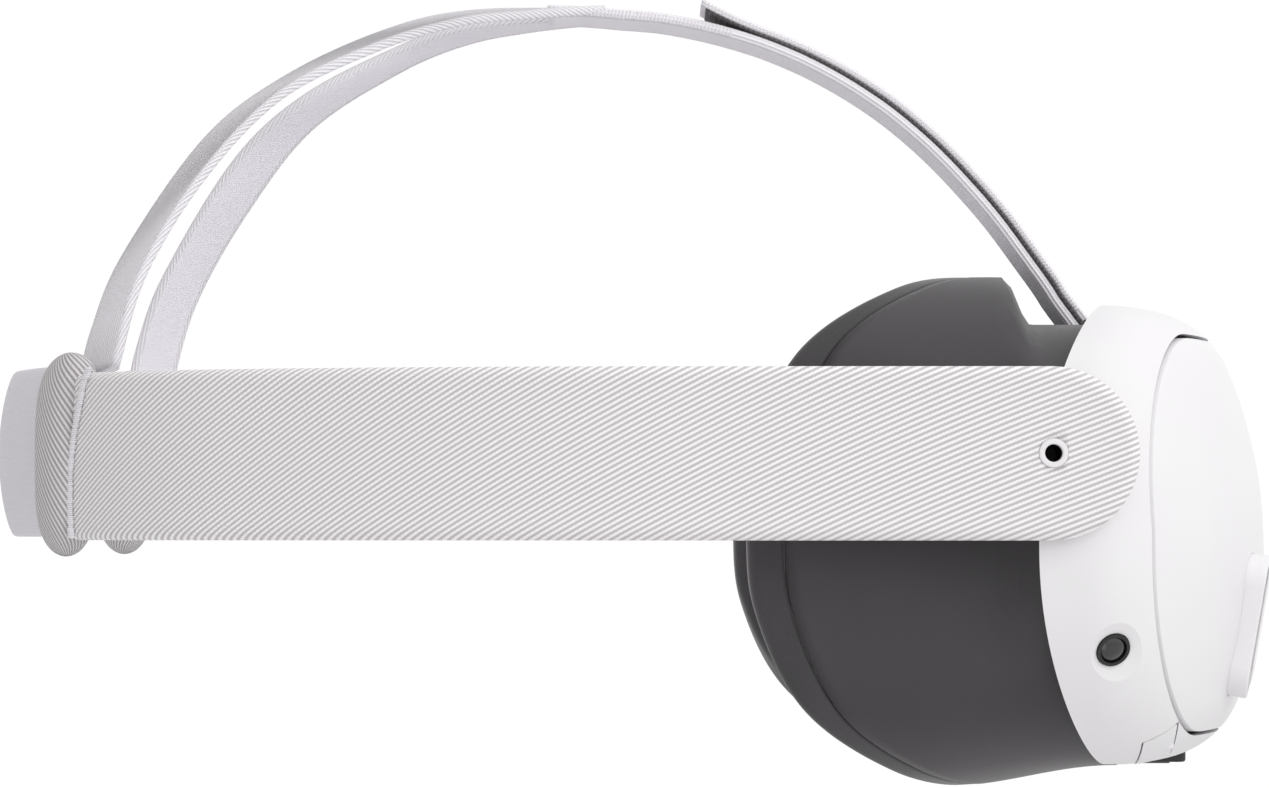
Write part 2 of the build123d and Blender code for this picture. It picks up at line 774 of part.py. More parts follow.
with BuildPart() as lens_barrel:
    with BuildSketch(facing(barrel_rear_y)):
        with Locations((-lens_spacing / 2, 0)):
            Circle(barrel_radius)
            Circle(barrel_radius - barrel_wall, mode=Mode.SUBTRACT)
    extrude(amount=barrel_rear_y - barrel_front_y)
    fillet(lens_barrel.faces().sort_by(Axis.Y)[-1].edges(), radius=0.8)
    with BuildSketch(facing(web_rear_y)):
        with Locations((-lens_spacing / 2, 26.0)):
            Rectangle(10, 7.6)
    extrude(amount=web_rear_y - web_front_y)
    with BuildSketch(Plane.YZ.offset(-50)):
        with Locations((rod_y, rod_z)):
            Circle(rod_radius + running_fit)
    extrude(amount=40, mode=Mode.SUBTRACT)
keep_pair(lens_barrel.part, "lens_barrel")

lens_edge_radius = barrel_radius - barrel_wall - 0.05
lens_rim_y = -38.0
lens_rim = 2.6
sag = lens_dome_radius - math.sqrt(lens_dome_radius**2 - lens_edge_radius**2)
with BuildPart() as lens:
    with BuildSketch(facing(lens_rim_y)):
        with Locations((-lens_spacing / 2, 0)):
            Circle(lens_edge_radius)
    extrude(amount=-(lens_rim + sag))
    with BuildPart(mode=Mode.INTERSECT):
        with Locations((-lens_spacing / 2, lens_rim_y + lens_rim + sag - lens_dome_radius, 0)):
            Sphere(lens_dome_radius)
keep_pair(lens.part, "lens")

with BuildPart() as display:
    with BuildSketch(facing(barrel_front_y - 0.05)):
        with Locations((-lens_spacing / 2, 0)):
            RectangleRounded(43, 43, 5)
    extrude(amount=1.9)
keep_pair(display.part, "display")

# ---- facial interface --------------------------------------------------------------
with BuildPart() as nose_cut:
    with BuildSketch(facing(80)):
        with Locations((0, nose_top_z - 50)):
            SlotOverall(100, nose_width, rotation=90)
    extrude(amount=160)

button_y = -12.0
button_z = 10.0            # high enough for the arms to cover the buttons
button_length = 16.0
button_width = 9.0
button_throw = 1.2
outer_face_form = face_form(0)
wall_face_form = face_form(face_wall)
with BuildPart() as interface_frame:
    add(outer_face_form)
    add(wall_face_form, mode=Mode.SUBTRACT)
    add(rear_disc(0.6), mode=Mode.INTERSECT)
    add(face_disc(face_depth + 0.15), mode=Mode.SUBTRACT)
    for sx in (-1, 1):
        x0, x1 = sorted((sx * (tongue_x - tongue_width / 2), sx * (tongue_x + tongue_width / 2)))
        add(block(x0, x1, -53.0, -30.0, -tongue_height / 2, tongue_height / 2))
        x0, x1 = sorted((sx * (tongue_x - tongue_width / 2), sx * (face_neck_width / 2 - face_wall + 0.1)))
        add(block(x0, x1, -34.0, -30.0, -tongue_height / 2, tongue_height / 2))
    add(nose_cut.part, mode=Mode.SUBTRACT)
    with BuildSketch(Plane.YZ.offset(-90)):
        with Locations((button_y, button_z)):
            SlotOverall(button_length + 0.7, button_width + 0.7, rotation=90)
    extrude(amount=180, mode=Mode.SUBTRACT)
keep(interface_frame.part, "interface_frame")

with BuildPart() as interface_cushion:
    add(outer_face_form)
    add(face_form(cushion_thickness), mode=Mode.SUBTRACT)
    add(face_disc(face_depth), mode=Mode.INTERSECT)
    add(face_disc(0), mode=Mode.SUBTRACT)
    add(nose_cut.part, mode=Mode.SUBTRACT)
keep(interface_cushion.part, "interface_cushion")

button_outer_x = face_width / 2 - face_wall / 2 + 0.2
with BuildPart() as interface_button:
    with BuildSketch(Plane.YZ.offset(-button_outer_x)):
        with Locations((button_y, button_z)):
            SlotOverall(button_length, button_width, rotation=90)
    extrude(amount=4.2)
    fillet(interface_button.faces().sort_by(Axis.X)[-1].edges(), radius=0.8)
keep_pair(interface_button.part, "interface_button")

# ---- headband: arms and side straps ------------------------------------------------
strap_low_z = strap_z - strap_height / 2
strap_high_z = strap_z + strap_height / 2
arm_half_height = 14.0


def nose_profile(radius, end_y):
    """Round-nosed prism about the pivot, running back to end_y, all the way across."""
    with BuildPart() as prism:
        with BuildSketch(Plane.YZ):
            with Locations((pivot_y, strap_z)):
                Circle(radius)
            with Locations(((pivot_y + end_y) / 2, strap_z)):
                Rectangle(end_y - pivot_y, 2 * radius)
        extrude(amount=120, both=True)
    return prism.part


right_half = block(-130, 0, -80, 260, -60, 160)

with BuildPart() as arm_core:
    add(loop_band(-arm_thickness / 2, arm_thickness / 2, -20, 50))
    add(nose_profile(arm_half_height, arm_end_y), mode=Mode.INTERSECT)
    add(right_half, mode=Mode.INTERSECT)
    with BuildSketch(Plane.YZ.offset(-110)):
        with Locations((pivot_y, pivot_z)):
            Circle(pivot_radius + running_fit)
        with Locations((18.0, strap_z)):
            SlotOverall(26.4, 12.4)
    extrude(amount=60, mode=Mode.SUBTRACT)
keep_pair(arm_core.part, "arm_core")

with BuildPart() as speaker:
    with BuildSketch(Plane.YZ.offset(-strap_x - arm_thickness / 2 + 0.1)):
        with Locations((18.0, strap_z)):
            SlotOverall(26, 12)
    extrude(amount=arm_thickness - 0.2)
keep_pair(speaker.part, "speaker")

socket_mouth_x = strap_x + arm_thickness / 2 + 0.2
strap_outer_x = strap_x + strap_thickness / 2
ring_radius = 3.0
half_roll_angle = math.degrees(roll_length / 2 / back_radius)
join_gap = 0.2
for side in ("right", "left"):
    with BuildPart() as side_strap:
        add(loop_band(-strap_thickness / 2, strap_thickness / 2, -20, 60))
        add(nose_profile(strap_height / 2, 260), mode=Mode.INTERSECT)
        add(right_half, mode=Mode.INTERSECT)
        add(wedge(-60, roll_angle + join_gap, -50, 100), mode=Mode.SUBTRACT)
        with BuildPart(mode=Mode.SUBTRACT):
            add(loop_band(-arm_thickness / 2 - 0.1, arm_thickness / 2 + 0.1, -20, 50))
            add(nose_profile(arm_half_height + 0.1, arm_end_y + 0.1), mode=Mode.INTERSECT)
        with BuildSketch(Plane.YZ.offset(-strap_x)):
            with Locations((pivot_y, pivot_z)):
                Circle(pivot_radius + 0.6)
        extrude(amount=20, mode=Mode.SUBTRACT)
        with BuildSketch(Plane.YZ.offset(-strap_x)):
            with Locations((pivot_y, pivot_z)):
                if side == "right":
                    Circle(ring_radius + 0.05)
                else:
                    SlotOverall(12.1, 6.1)
        extrude(amount=-20, mode=Mode.SUBTRACT)
    strap_part = side_strap.part if side == "right" else mirror(side_strap.part, about=Plane.YZ)
    keep(strap_part, f"side_strap_{side}")

with BuildPart() as jack_ring:
    with BuildSketch(Plane.YZ.offset(-strap_outer_x - 0.3)):
        with Locations((pivot_y, pivot_z)):
            Circle(ring_radius)
            Circle(jack_radius, mode=Mode.SUBTRACT)
    extrude(amount=strap_outer_x + 0.3 - socket_mouth_x)
    fillet(jack_ring.faces().sort_by(Axis.X)[0].edges(), radius=0.35)
keep(jack_ring.part, "jack_ring")

with BuildPart() as jack_socket:
    with BuildSketch(Plane.YZ.offset(-socket_mouth_x + 0.15)):
        with Locations((pivot_y, pivot_z)):
            Circle(3.6)
    extrude(amount=jack_depth + 1.5)
    with BuildSketch(Plane.YZ.offset(-socket_mouth_x + 0.15)):
        with Locations((pivot_y, pivot_z)):
            Circle(jack_radius)
    extrude(amount=jack_depth, mode=Mode.SUBTRACT)
keep(jack_socket.part, "jack_socket")

usb_width = 8.34
usb_height = 2.56
usb_depth = 6.6
with BuildPart() as usb_socket:
    with BuildSketch(Plane.YZ.offset(socket_mouth_x)):
        with Locations((pivot_y, pivot_z)):
            SlotOverall(12, 6)
    extrude(amount=strap_outer_x + 0.2 - socket_mouth_x)
    with BuildSketch(Plane.YZ.offset(socket_mouth_x)):
        with Locations((pivot_y, pivot_z)):
            SlotOverall(usb_width + 1.0, usb_height + 1.0)
    extrude(amount=-(usb_depth - 1.0))
    with BuildSketch(Plane.YZ.offset(strap_outer_x + 0.2)):
        with Locations((pivot_y, pivot_z)):
            SlotOverall(usb_width, usb_height)
    extrude(amount=-usb_depth, mode=Mode.SUBTRACT)
    with BuildSketch(Plane.YZ.offset(socket_mouth_x - usb_depth + 1.3)):
        with Locations((pivot_y, pivot_z)):
            Rectangle(6.2, 0.7)
    extrude(amount=5.9)
keep(usb_socket.part, "usb_socket")

# ---- headband: rear band and sliders -----------------------------------------------
with BuildPart() as rear_band:
    add(loop_band(-band_thickness / 2, band_thickness / 2, band_low_z, band_high_z))
    with BuildPart(mode=Mode.INTERSECT):
        sector = wedge(0, roll_angle - join_gap, -50, 100)
        add(sector)
        add(mirror(sector, about=Plane.YZ))
keep(rear_band.part, "rear_band")

slot_half = strap_thickness / 2 + slot_clearance
with BuildPart() as rear_roll:
    add(loop_band(-roll_thickness / 2, roll_thickness / 2, roll_low_z, roll_high_z))
    add(wedge(roll_angle - half_roll_angle, roll_angle + half_roll_angle, -50, 100), mode=Mode.INTERSECT)
    fillet(rear_roll.edges().filter_by(Axis.Z), radius=2.5)
    add(loop_band(-slot_half, slot_half, strap_low_z - slot_clearance, band_high_z + slot_clearance),
        mode=Mode.SUBTRACT)
keep_pair(rear_roll.part, "rear_roll")

# ---- headband: strap over the head -------------------------------------------------
half_top = top_thickness / 2
pad_inner = half_top + 0.05
flap_inner = pad_inner + pad_thickness + 0.05
flap_outer = flap_inner + flap_thickness
flap_tip_y = 38.9
pad_end_y = 30.0

with BuildPart() as top_strap:
    add(arch_band(-half_top, half_top, top_width / 2))
    add(block(-50, 50, -80, fork_y, top_break_high_z, 150), mode=Mode.INTERSECT)
keep(top_strap.part, "top_strap")

with BuildPart() as hook_pad:
    add(arch_band(pad_inner, pad_inner + pad_thickness, top_width / 2 - 1))
    add(block(-50, 50, -80, pad_end_y, top_break_high_z, 150), mode=Mode.INTERSECT)
keep(hook_pad.part, "hook_pad")

with BuildPart() as hook_flap:
    add(arch_band(flap_inner, flap_outer, top_width / 2))
    add(block(-50, 50, -80, flap_tip_y, top_break_high_z, 150), mode=Mode.INTERSECT)
keep(hook_flap.part, "hook_flap")

with BuildPart() as front_strap_loop:
    add(arch_band(-half_top, flap_outer, top_width / 2))
    add(block(-50, 50, -80, 20, 40, top_break_low_z), mode=Mode.INTERSECT)
keep(front_strap_loop.part, "front_strap_loop")

branch_end_y = top_start[1] + 122.0
with BuildPart() as strap_branch:
    add(arch_band(-half_top, half_top, 60))
    with BuildPart(mode=Mode.INTERSECT):
        with BuildSketch(Plane.XY.offset(20)):
            with BuildLine():
                Polyline(
                    (-0.4, fork_y + 0.3),
                    (-top_width / 2, fork_y + 0.3),
                    (-branch_end_x - branch_width / 2, branch_end_y),
                    (-branch_end_x + branch_width / 2, branch_end_y),
                    close=True,
                )
            make_face()
        extrude(amount=120)
keep_pair(strap_branch.part, "strap_branch")
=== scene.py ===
# %% [markdown]
# # A virtual reality headset
# The headset hangs together from hard and soft parts. The hard ones, such as the white
# visor with its sensor windows, come ready made from the frame and only need finishes.
# The soft ones, such as the straps and the face cushion, are made here.

# %% Load the frame
import json
import math

import bmesh
import bpy
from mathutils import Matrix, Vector


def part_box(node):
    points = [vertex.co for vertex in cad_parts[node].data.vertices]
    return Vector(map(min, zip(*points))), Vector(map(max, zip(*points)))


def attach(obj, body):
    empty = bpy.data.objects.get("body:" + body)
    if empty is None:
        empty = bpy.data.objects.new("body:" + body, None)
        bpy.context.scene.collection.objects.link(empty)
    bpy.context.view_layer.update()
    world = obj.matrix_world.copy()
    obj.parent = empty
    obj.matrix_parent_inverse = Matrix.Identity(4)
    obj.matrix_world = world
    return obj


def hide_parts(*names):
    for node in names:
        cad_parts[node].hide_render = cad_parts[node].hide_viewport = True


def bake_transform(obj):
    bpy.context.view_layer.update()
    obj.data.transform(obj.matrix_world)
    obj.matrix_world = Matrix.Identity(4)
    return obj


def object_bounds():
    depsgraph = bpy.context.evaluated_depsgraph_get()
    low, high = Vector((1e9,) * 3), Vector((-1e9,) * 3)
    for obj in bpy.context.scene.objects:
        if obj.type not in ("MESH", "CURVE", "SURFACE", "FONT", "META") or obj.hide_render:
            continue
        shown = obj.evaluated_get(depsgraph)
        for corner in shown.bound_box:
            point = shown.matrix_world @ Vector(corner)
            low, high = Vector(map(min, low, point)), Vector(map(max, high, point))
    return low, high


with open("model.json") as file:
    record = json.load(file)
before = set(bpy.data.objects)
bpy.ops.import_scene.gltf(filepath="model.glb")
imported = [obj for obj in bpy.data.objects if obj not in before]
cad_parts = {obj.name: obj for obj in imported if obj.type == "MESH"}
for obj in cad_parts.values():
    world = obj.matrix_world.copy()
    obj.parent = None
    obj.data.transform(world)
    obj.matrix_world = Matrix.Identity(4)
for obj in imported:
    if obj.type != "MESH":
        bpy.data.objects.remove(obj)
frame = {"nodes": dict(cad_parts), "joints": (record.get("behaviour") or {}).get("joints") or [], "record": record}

cad_low, cad_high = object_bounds()
joints = {joint["name"]: joint for joint in frame["joints"]}
print("the frame is", [round(x * 1000) for x in cad_high - cad_low], "mm")

# %% [markdown]
# ## Camera
# The headset is shown from its own right side, from a metre away and level with it. A long
# lens keeps the proportions calm.

# %% Camera
scene = bpy.context.scene
camera_data = bpy.data.cameras.new("camera")
camera_data.lens = 126.4
camera_data.sensor_width = 36.0
camera_data.clip_start = 0.01
camera = bpy.data.objects.new("camera", camera_data)
scene.collection.objects.link(camera)
camera.location = (-1.0, 0.05, 0.0)
looks_at = Vector((0.0, 0.0535, 0.031))
camera.rotation_euler = (looks_at - camera.location).to_track_quat("-Z", "Y").to_euler()
scene.camera = camera

# %% [markdown]
# ## Writing materials as sums
# A material is a net of small nodes. It reads better as arithmetic, so one class stands for a
# number on its way through the net, and a second one for the material that is being made.

# %% Shader helpers
class Flow:
    """A number on its way through a material. Arithmetic on it adds Math nodes."""

    def __init__(self, finish, socket):
        self.finish = finish
        self.socket = socket

    def maths(self, operation, *values):
        return self.finish.node("ShaderNodeMath", {"operation": operation}, dict(enumerate(values)))

    def __add__(self, other):
        return self.maths("ADD", self, other)

    def __sub__(self, other):
        return self.maths("SUBTRACT", self, other)

    def __rsub__(self, other):
        return self.maths("SUBTRACT", other, self)

    def __mul__(self, other):
        return self.maths("MULTIPLY", self, other)

    def __pow__(self, other):
        return self.maths("POWER", self, other)

    __radd__ = __add__
    __rmul__ = __mul__

    def wave(self, length):
        """Swings between 0 and 1, once in each length."""
        return self.maths("SINE", self * (2 * math.pi / length)) * 0.5 + 0.5

    def step(self, low, high):
        """0 below low and 1 above high, with a soft rise between them."""
        return self.finish.node("ShaderNodeMapRange", {"interpolation_type": "SMOOTHSTEP"},
                                {"Value": self, "From Min": low, "From Max": high})


class Finish:
    """A material being made, with one shader whose sockets are fed by name."""

    def __init__(self, name, **uniform):
        self.material = bpy.data.materials.new(name)
        self.material.use_nodes = True
        self.tree = self.material.node_tree
        self.shader = self.tree.nodes["Principled BSDF"]
        for socket, value in uniform.items():
            self.shader.inputs[socket.replace("_", " ")].default_value = value

    def node(self, kind, settings=None, sockets=None, output=0):
        """Adds a node: its settings first, then the values or links of its sockets."""
        made = self.tree.nodes.new(kind)
        for key, value in (settings or {}).items():
            setattr(made, key, value)
        for key, value in (sockets or {}).items():
            self.set(made.inputs[key], value)
        return Flow(self, made.outputs[output])

    def set(self, socket, value):
        if isinstance(value, Flow):
            self.tree.links.new(value.socket, socket)
        else:
            socket.default_value = value

    def feed(self, **flows):
        for socket, flow in flows.items():
            self.set(self.shader.inputs[socket.replace("_", " ")], flow)
        return self.material

    def place(self):
        return self.node("ShaderNodeTexCoord", output="Object")

    def noise(self, scale, detail=2.0, where=None):
        return self.node("ShaderNodeTexNoise", {},
                         {"Vector": where or self.place(), "Scale": scale, "Detail": detail})

    def mix(self, factor, first, second):
        return self.node("ShaderNodeMix", {"data_type": "RGBA"},
                         {0: factor, 6: first, 7: second}, output=2)

    def relief(self, height, depth, strength=1.0):
        return self.node("ShaderNodeBump", {},
                         {"Height": height, "Distance": depth, "Strength": strength})


def shade(red, green, blue):
    """A colour as eyes read it, 0 to 255, turned into the numbers that light works in."""
    linear = [((c / 255 + 0.055) / 1.055) ** 2.4 for c in (red, green, blue)]
    return (*linear, 1.0)


# %% [markdown]
# ## Floor and light
# The floor is a pale sheet far below the part, since the headset is held up by the head
# it sits on. Its colour is painted grey round the middle and white further out: painted shade
# under the headset. The sky is dimmer towards the back of the head. Soft lamps in front, above
# and a little below leave only faint shadows on the white plastic.

# %% Floor and light
floor_mesh = bpy.data.meshes.new("floor")
floor_z = cad_low.z - 0.25
half_floor = 4.0
floor_corners = [(x * half_floor, y * half_floor, floor_z)
                 for x, y in ((-1, -1), (1, -1), (1, 1), (-1, 1))]
floor_mesh.from_pydata(floor_corners, [], [(0, 1, 2, 3)])
floor = bpy.data.objects.new("floor", floor_mesh)
scene.collection.objects.link(floor)
floor_finish = Finish("pale_floor", Roughness=0.9)
from_middle = floor_finish.node("ShaderNodeVectorMath", {"operation": "LENGTH"},
                                {"Vector": floor_finish.place()}, output="Value")
# painted shade: the floor is grey round the headset's middle and fades to white by 2.6 m
floor_mesh.materials.append(floor_finish.feed(
    Base_Color=floor_finish.mix(from_middle.step(0.3, 2.6), shade(226, 225, 226),
                                shade(255, 255, 255))))

world = bpy.data.worlds.new("studio")
scene.world = world
world.use_nodes = True
world_nodes, world_links = world.node_tree.nodes, world.node_tree.links
sky_place = world_nodes.new("ShaderNodeTexCoord")
sky_axes = world_nodes.new("ShaderNodeSeparateXYZ")
sky_fall = world_nodes.new("ShaderNodeMapRange")
sky_fall.inputs["From Min"].default_value = 0.15
sky_fall.inputs["From Max"].default_value = 0.85
sky_fall.inputs["To Min"].default_value = 1.02
sky_fall.inputs["To Max"].default_value = 0.4
world_links.new(sky_place.outputs["Generated"], sky_axes.inputs["Vector"])
world_links.new(sky_axes.outputs["Y"], sky_fall.inputs["Value"])
world_links.new(sky_fall.outputs["Result"], world_nodes["Background"].inputs["Strength"])
world_nodes["Background"].inputs["Color"].default_value = (1.0, 1.0, 1.0, 1.0)
scene.view_settings.view_transform = "Standard"


def soft_lamp(name, place, aim, size, power):
    lamp = bpy.data.lights.new(name, "AREA")
    lamp.shape = "RECTANGLE"
    lamp.size = size
    lamp.size_y = size
    lamp.energy = power
    holder = bpy.data.objects.new(name, lamp)
    scene.collection.objects.link(holder)
    holder.location = place
    holder.rotation_euler = (Vector(aim) - Vector(place)).to_track_quat("-Z", "Y").to_euler()


middle = (cad_low + cad_high) / 2
soft_lamp("front_lamp", (-0.62, -0.5, 0.42), (0, -0.02, 0), 0.5, 1.45)
soft_lamp("top_lamp", (-0.3, -0.2, 1.5), middle, 1.0, 2.2)
soft_lamp("low_lamp", (-0.42, 0.12, -0.24), (0, 0.08, 0.1), 0.3, 0.16)
print("camera, floor and three lamps are in place")

# %% [markdown]
# ## Finishes of the hard parts
# Moulded plastic is never one flat colour. Its mould was spark eroded, which leaves a grain
# of about a third of a millimetre, and its gloss wanders a little. One helper makes every
# moulded finish from a tint, a second tint that it drifts to, a roughness and a grain.


# %% Moulded plastics and metals
def moulded(name, tint, drift, roughness, grain=0.0004, depth=0.00002, **uniform):
    finish = Finish(name, **uniform)
    fine = finish.noise(1 / grain, 2.0)
    broad = finish.noise(24.0, 3.0)
    return finish.feed(
        Base_Color=finish.mix(broad.step(0.3, 0.7), shade(*tint), shade(*drift)),
        Roughness=(fine - 0.5) * 0.14 + roughness,
        Normal=finish.relief(fine, depth, 0.5))


white_plastic = moulded("white_plastic", (231, 230, 231), (228, 226, 228), 0.46,
                        Coat_Weight=0.05, Coat_Roughness=0.4)
black_plastic = moulded("black_plastic", (30, 29, 31), (36, 35, 37), 0.5)
grey_plastic = moulded("grey_plastic", (120, 118, 120), (128, 126, 127), 0.55)
dark_interface = moulded("dark_interface", (52, 49, 52), (57, 54, 57), 0.5, 0.0005, 0.00003,
                         Sheen_Weight=0.15, Sheen_Roughness=0.4)
cast_metal = moulded("cast_metal", (105, 104, 106), (118, 117, 119), 0.5, Metallic=0.8)
bright_steel = moulded("bright_steel", (190, 190, 192), (170, 170, 174), 0.28, 0.0008, Metallic=1.0)
black_glass = moulded("black_glass", (10, 10, 12), (18, 17, 20), 0.14, 0.003, 0.000002,
                      Coat_Weight=1.0, Coat_Roughness=0.04)
display_glass = moulded("display_glass", (14, 14, 24), (22, 20, 34), 0.12, 0.002, 0.000002,
                        Coat_Weight=1.0, Coat_Roughness=0.05)
lens_glass = moulded("lens_glass", (52, 48, 66), (38, 38, 50), 0.08, 0.004, 0.000001,
                     Coat_Weight=1.0, Coat_Roughness=0.03, IOR=1.6)

# %% [markdown]
# ## Finishes of the electronics
# They can only be seen when the covers are off, but they are real parts: a green board with
# thin copper tracks, and a battery in silver wrap with a printed grid.


# %% Board and battery
def circuit_board():
    finish = Finish("circuit_board", Coat_Weight=0.4, Coat_Roughness=0.2)
    axes = finish.node("ShaderNodeSeparateXYZ", {}, {"Vector": finish.place()})
    across = finish.node("ShaderNodeTexWave", {"wave_type": "BANDS", "bands_direction": "X"},
                         {"Vector": finish.place(), "Scale": 120.0, "Distortion": 6.0, "Detail": 2.0})
    track = across.step(0.72, 0.8) * axes.wave(0.011).step(0.2, 0.4)
    return finish.feed(
        Base_Color=finish.mix(track, shade(24, 84, 52), shade(66, 128, 74)),
        Roughness=0.5 - track * 0.15,
        Normal=finish.relief(track, 0.00004))


def battery_wrap():
    finish = Finish("battery_wrap")
    crease = finish.noise(160.0, 4.0)
    return finish.feed(
        Base_Color=finish.mix(crease.step(0.35, 0.7), shade(176, 178, 182), shade(146, 148, 154)),
        Metallic=crease * 0.3 + 0.5,
        Roughness=crease * 0.3 + 0.2,
        Normal=finish.relief(crease, 0.0002))


# %% [markdown]
# ## Finishes of the fabrics
# The side straps and the rolls are covered in a knitted rib: round ridges a millimetre apart,
# each made of small twisted stitches. The ridges are only a bump, and the grooves between them
# are painted darker: painted shade. The pattern must follow the strap, so the strap's own
# map carries the length along it and the distance across the ribs, both in metres.


# %% Ribbed knit
def stitched_ribs(finish, across, along, pitch):
    """Height of a ridge of twisted stitches, 0 in the groove and 1 on top."""
    ridge = across.wave(pitch) ** 0.8
    twist = (along + across * 0.5).wave(pitch * 0.8)
    return ridge * (twist * 0.22 + 0.78)


def ribbed_knit(name, crest, groove, pitch, fuzz=0.12):
    finish = Finish(name, Sheen_Weight=0.2, Sheen_Roughness=0.5)
    spot = finish.node("ShaderNodeUVMap", {"uv_map": "weave"})
    along = finish.node("ShaderNodeSeparateXYZ", {}, {"Vector": spot}, output="X")
    across = finish.node("ShaderNodeSeparateXYZ", {}, {"Vector": spot}, output="Y")
    hair = finish.noise(2600.0, 3.0)
    height = stitched_ribs(finish, across, along, pitch) + (hair - 0.5) * fuzz
    # painted shade: the grooves get the darker colour, the ridges the lighter one
    return finish.feed(
        Base_Color=finish.mix(height.step(0.1, 0.8), shade(*groove), shade(*crest)),
        Roughness=0.92 - height * 0.12,
        Normal=finish.relief(height, 0.00022))


# the second colour of each knit is the painted shade in its grooves
strap_knit = ribbed_knit("strap_knit", (247, 245, 246), (196, 192, 193), 0.00105)
webbing_knit = ribbed_knit("webbing_knit", (250, 248, 251), (230, 226, 233), 0.0009, 0.2)
thread_white = moulded("thread_white", (240, 238, 241), (230, 227, 232), 0.8, 0.0003)


def wrapped_knit(name, centre, turn, pitch_count, hand):
    """The same knit wound round an upright roll, so its ribs climb like a screw thread. Its colours are darker
    than the strap's: painted shade, since the roll faces backwards, away from the lamps.
    """
    finish = Finish(name, Sheen_Weight=0.2, Sheen_Roughness=0.5)
    local = finish.node("ShaderNodeMapping", {"vector_type": "TEXTURE"},
                        {"Vector": finish.place(), "Location": centre, "Rotation": (0, 0, turn)})
    x, y, z = (finish.node("ShaderNodeSeparateXYZ", {}, {"Vector": local}, output=axis)
               for axis in "XYZ")
    angle = x.maths("ARCTAN2", y, x)
    across = angle * (pitch_count / (2 * math.pi)) + z * (hand * 560.0)
    hair = finish.noise(2600.0, 3.0)
    height = stitched_ribs(finish, across, z * 900.0, 1.0) + (hair - 0.5) * 0.12
    # painted shade: the whole roll is darker than the strap knit, and its grooves darker still
    return finish.feed(
        Base_Color=finish.mix(height.step(0.1, 0.8), shade(158, 153, 155), shade(216, 213, 214)),
        Roughness=0.92 - height * 0.12,
        Normal=finish.relief(height, 0.0002))


def smooth_jersey(name, light, dark):
    """Fine stretch fabric, for the rear band and the linings: a knit seen as a soft grain."""
    finish = Finish(name, Sheen_Weight=0.3, Sheen_Roughness=0.4)
    x, y, z = (finish.node("ShaderNodeSeparateXYZ", {}, {"Vector": finish.place()}, output=axis)
               for axis in "XYZ")
    thread = (x - y).wave(0.0006) * z.wave(0.0005)
    cloud = finish.noise(60.0, 3.0)
    return finish.feed(
        Base_Color=finish.mix(thread * 0.5 + cloud * 0.5, shade(*dark), shade(*light)),
        Roughness=0.9 - thread * 0.1,
        Normal=finish.relief(thread, 0.00006))


def hook_tape():
    """Hook side of the fastening: a dark mat of tiny stiff hooks in rows."""
    finish = Finish("hook_tape_finish", Sheen_Weight=0.1)
    spot = finish.node("ShaderNodeUVMap", {"uv_map": "weave"})
    along = finish.node("ShaderNodeSeparateXYZ", {}, {"Vector": spot}, output="X")
    across = finish.node("ShaderNodeSeparateXYZ", {}, {"Vector": spot}, output="Y")
    hooks = along.wave(0.0012) * across.wave(0.0010) + finish.noise(1500.0) * 0.3
    return finish.feed(
        Base_Color=finish.mix(hooks, shade(62, 60, 62), shade(132, 128, 130)),
        Roughness=0.95 - hooks * 0.2,
        Normal=finish.relief(hooks, 0.0003))


band_jersey = smooth_jersey("band_jersey", (228, 226, 232), (216, 212, 219))
hooks = hook_tape()
soft_lining = smooth_jersey("soft_lining", (250, 247, 253), (240, 236, 244))


def soft_foam_skin():
    """Moulded skin of the face cushion: darker, matt, with an orange-peel grain."""
    finish = Finish("soft_foam_skin", Sheen_Weight=0.35, Sheen_Roughness=0.45)
    pores = finish.node("ShaderNodeTexVoronoi", {}, {"Vector": finish.place(), "Scale": 1500.0})
    cloud = finish.noise(40.0, 3.0)
    return finish.feed(
        Base_Color=finish.mix(cloud.step(0.3, 0.7), shade(54, 52, 54), shade(60, 57, 60)),
        Roughness=0.78 - pores * 0.1,
        Normal=finish.relief(pores, 0.00005, 0.6))


cushion_skin = soft_foam_skin()

# %% [markdown]
# ## Finishes on the frame's parts
# The record names a material slot for every hard part, and each slot has one finish here.

# %% Finish the hard parts
slot_finish = {
    "white_shell": white_plastic, "black_glass": black_glass, "black_plastic": black_plastic,
    "frame_metal": cast_metal, "steel": bright_steel, "circuit_board": circuit_board(),
    "battery_wrap": battery_wrap(), "lens_glass": lens_glass, "display_glass": display_glass,
    "interface_plastic": dark_interface, "interface_foam": cushion_skin,
    "arm_plastic": grey_plastic, "strap_fabric": strap_knit, "band_fabric": band_jersey,
    "hook_tape": hooks,
}
for row in frame["record"]["subparts"]:
    part = frame["nodes"][row["node"]]
    if not part.data.materials:
        part.data.materials.append(None)
    part.data.materials[0] = slot_finish[row["material_slot"]]
print(len(frame["nodes"]), "frame parts have a finish")

# %% [markdown]
# ## Building soft parts as skins
# A strap is a long thin form, so the simplest way to make one is a skin: rows of points go
# round it, one row for each station along its length, and faces join each row to the next.
# Each point also gets a place on the weave's map, worked out from the distance round the
# section. A list of pairs gives what changes along a strap. A smooth curve through a few
# points comes from a Catmull-Rom spline, which passes through every one of them.

# %% Skins and smooth curves
mm = 0.001


def make_piece(name, mesh, finishes):
    """Puts a finished mesh in the scene, smooth, with its materials."""
    mesh.polygons.foreach_set("use_smooth", [True] * len(mesh.polygons))
    piece = bpy.data.objects.new(name, mesh)
    scene.collection.objects.link(piece)
    for finish in finishes:
        if finish.name not in mesh.materials:
            mesh.materials.append(finish)
    return piece


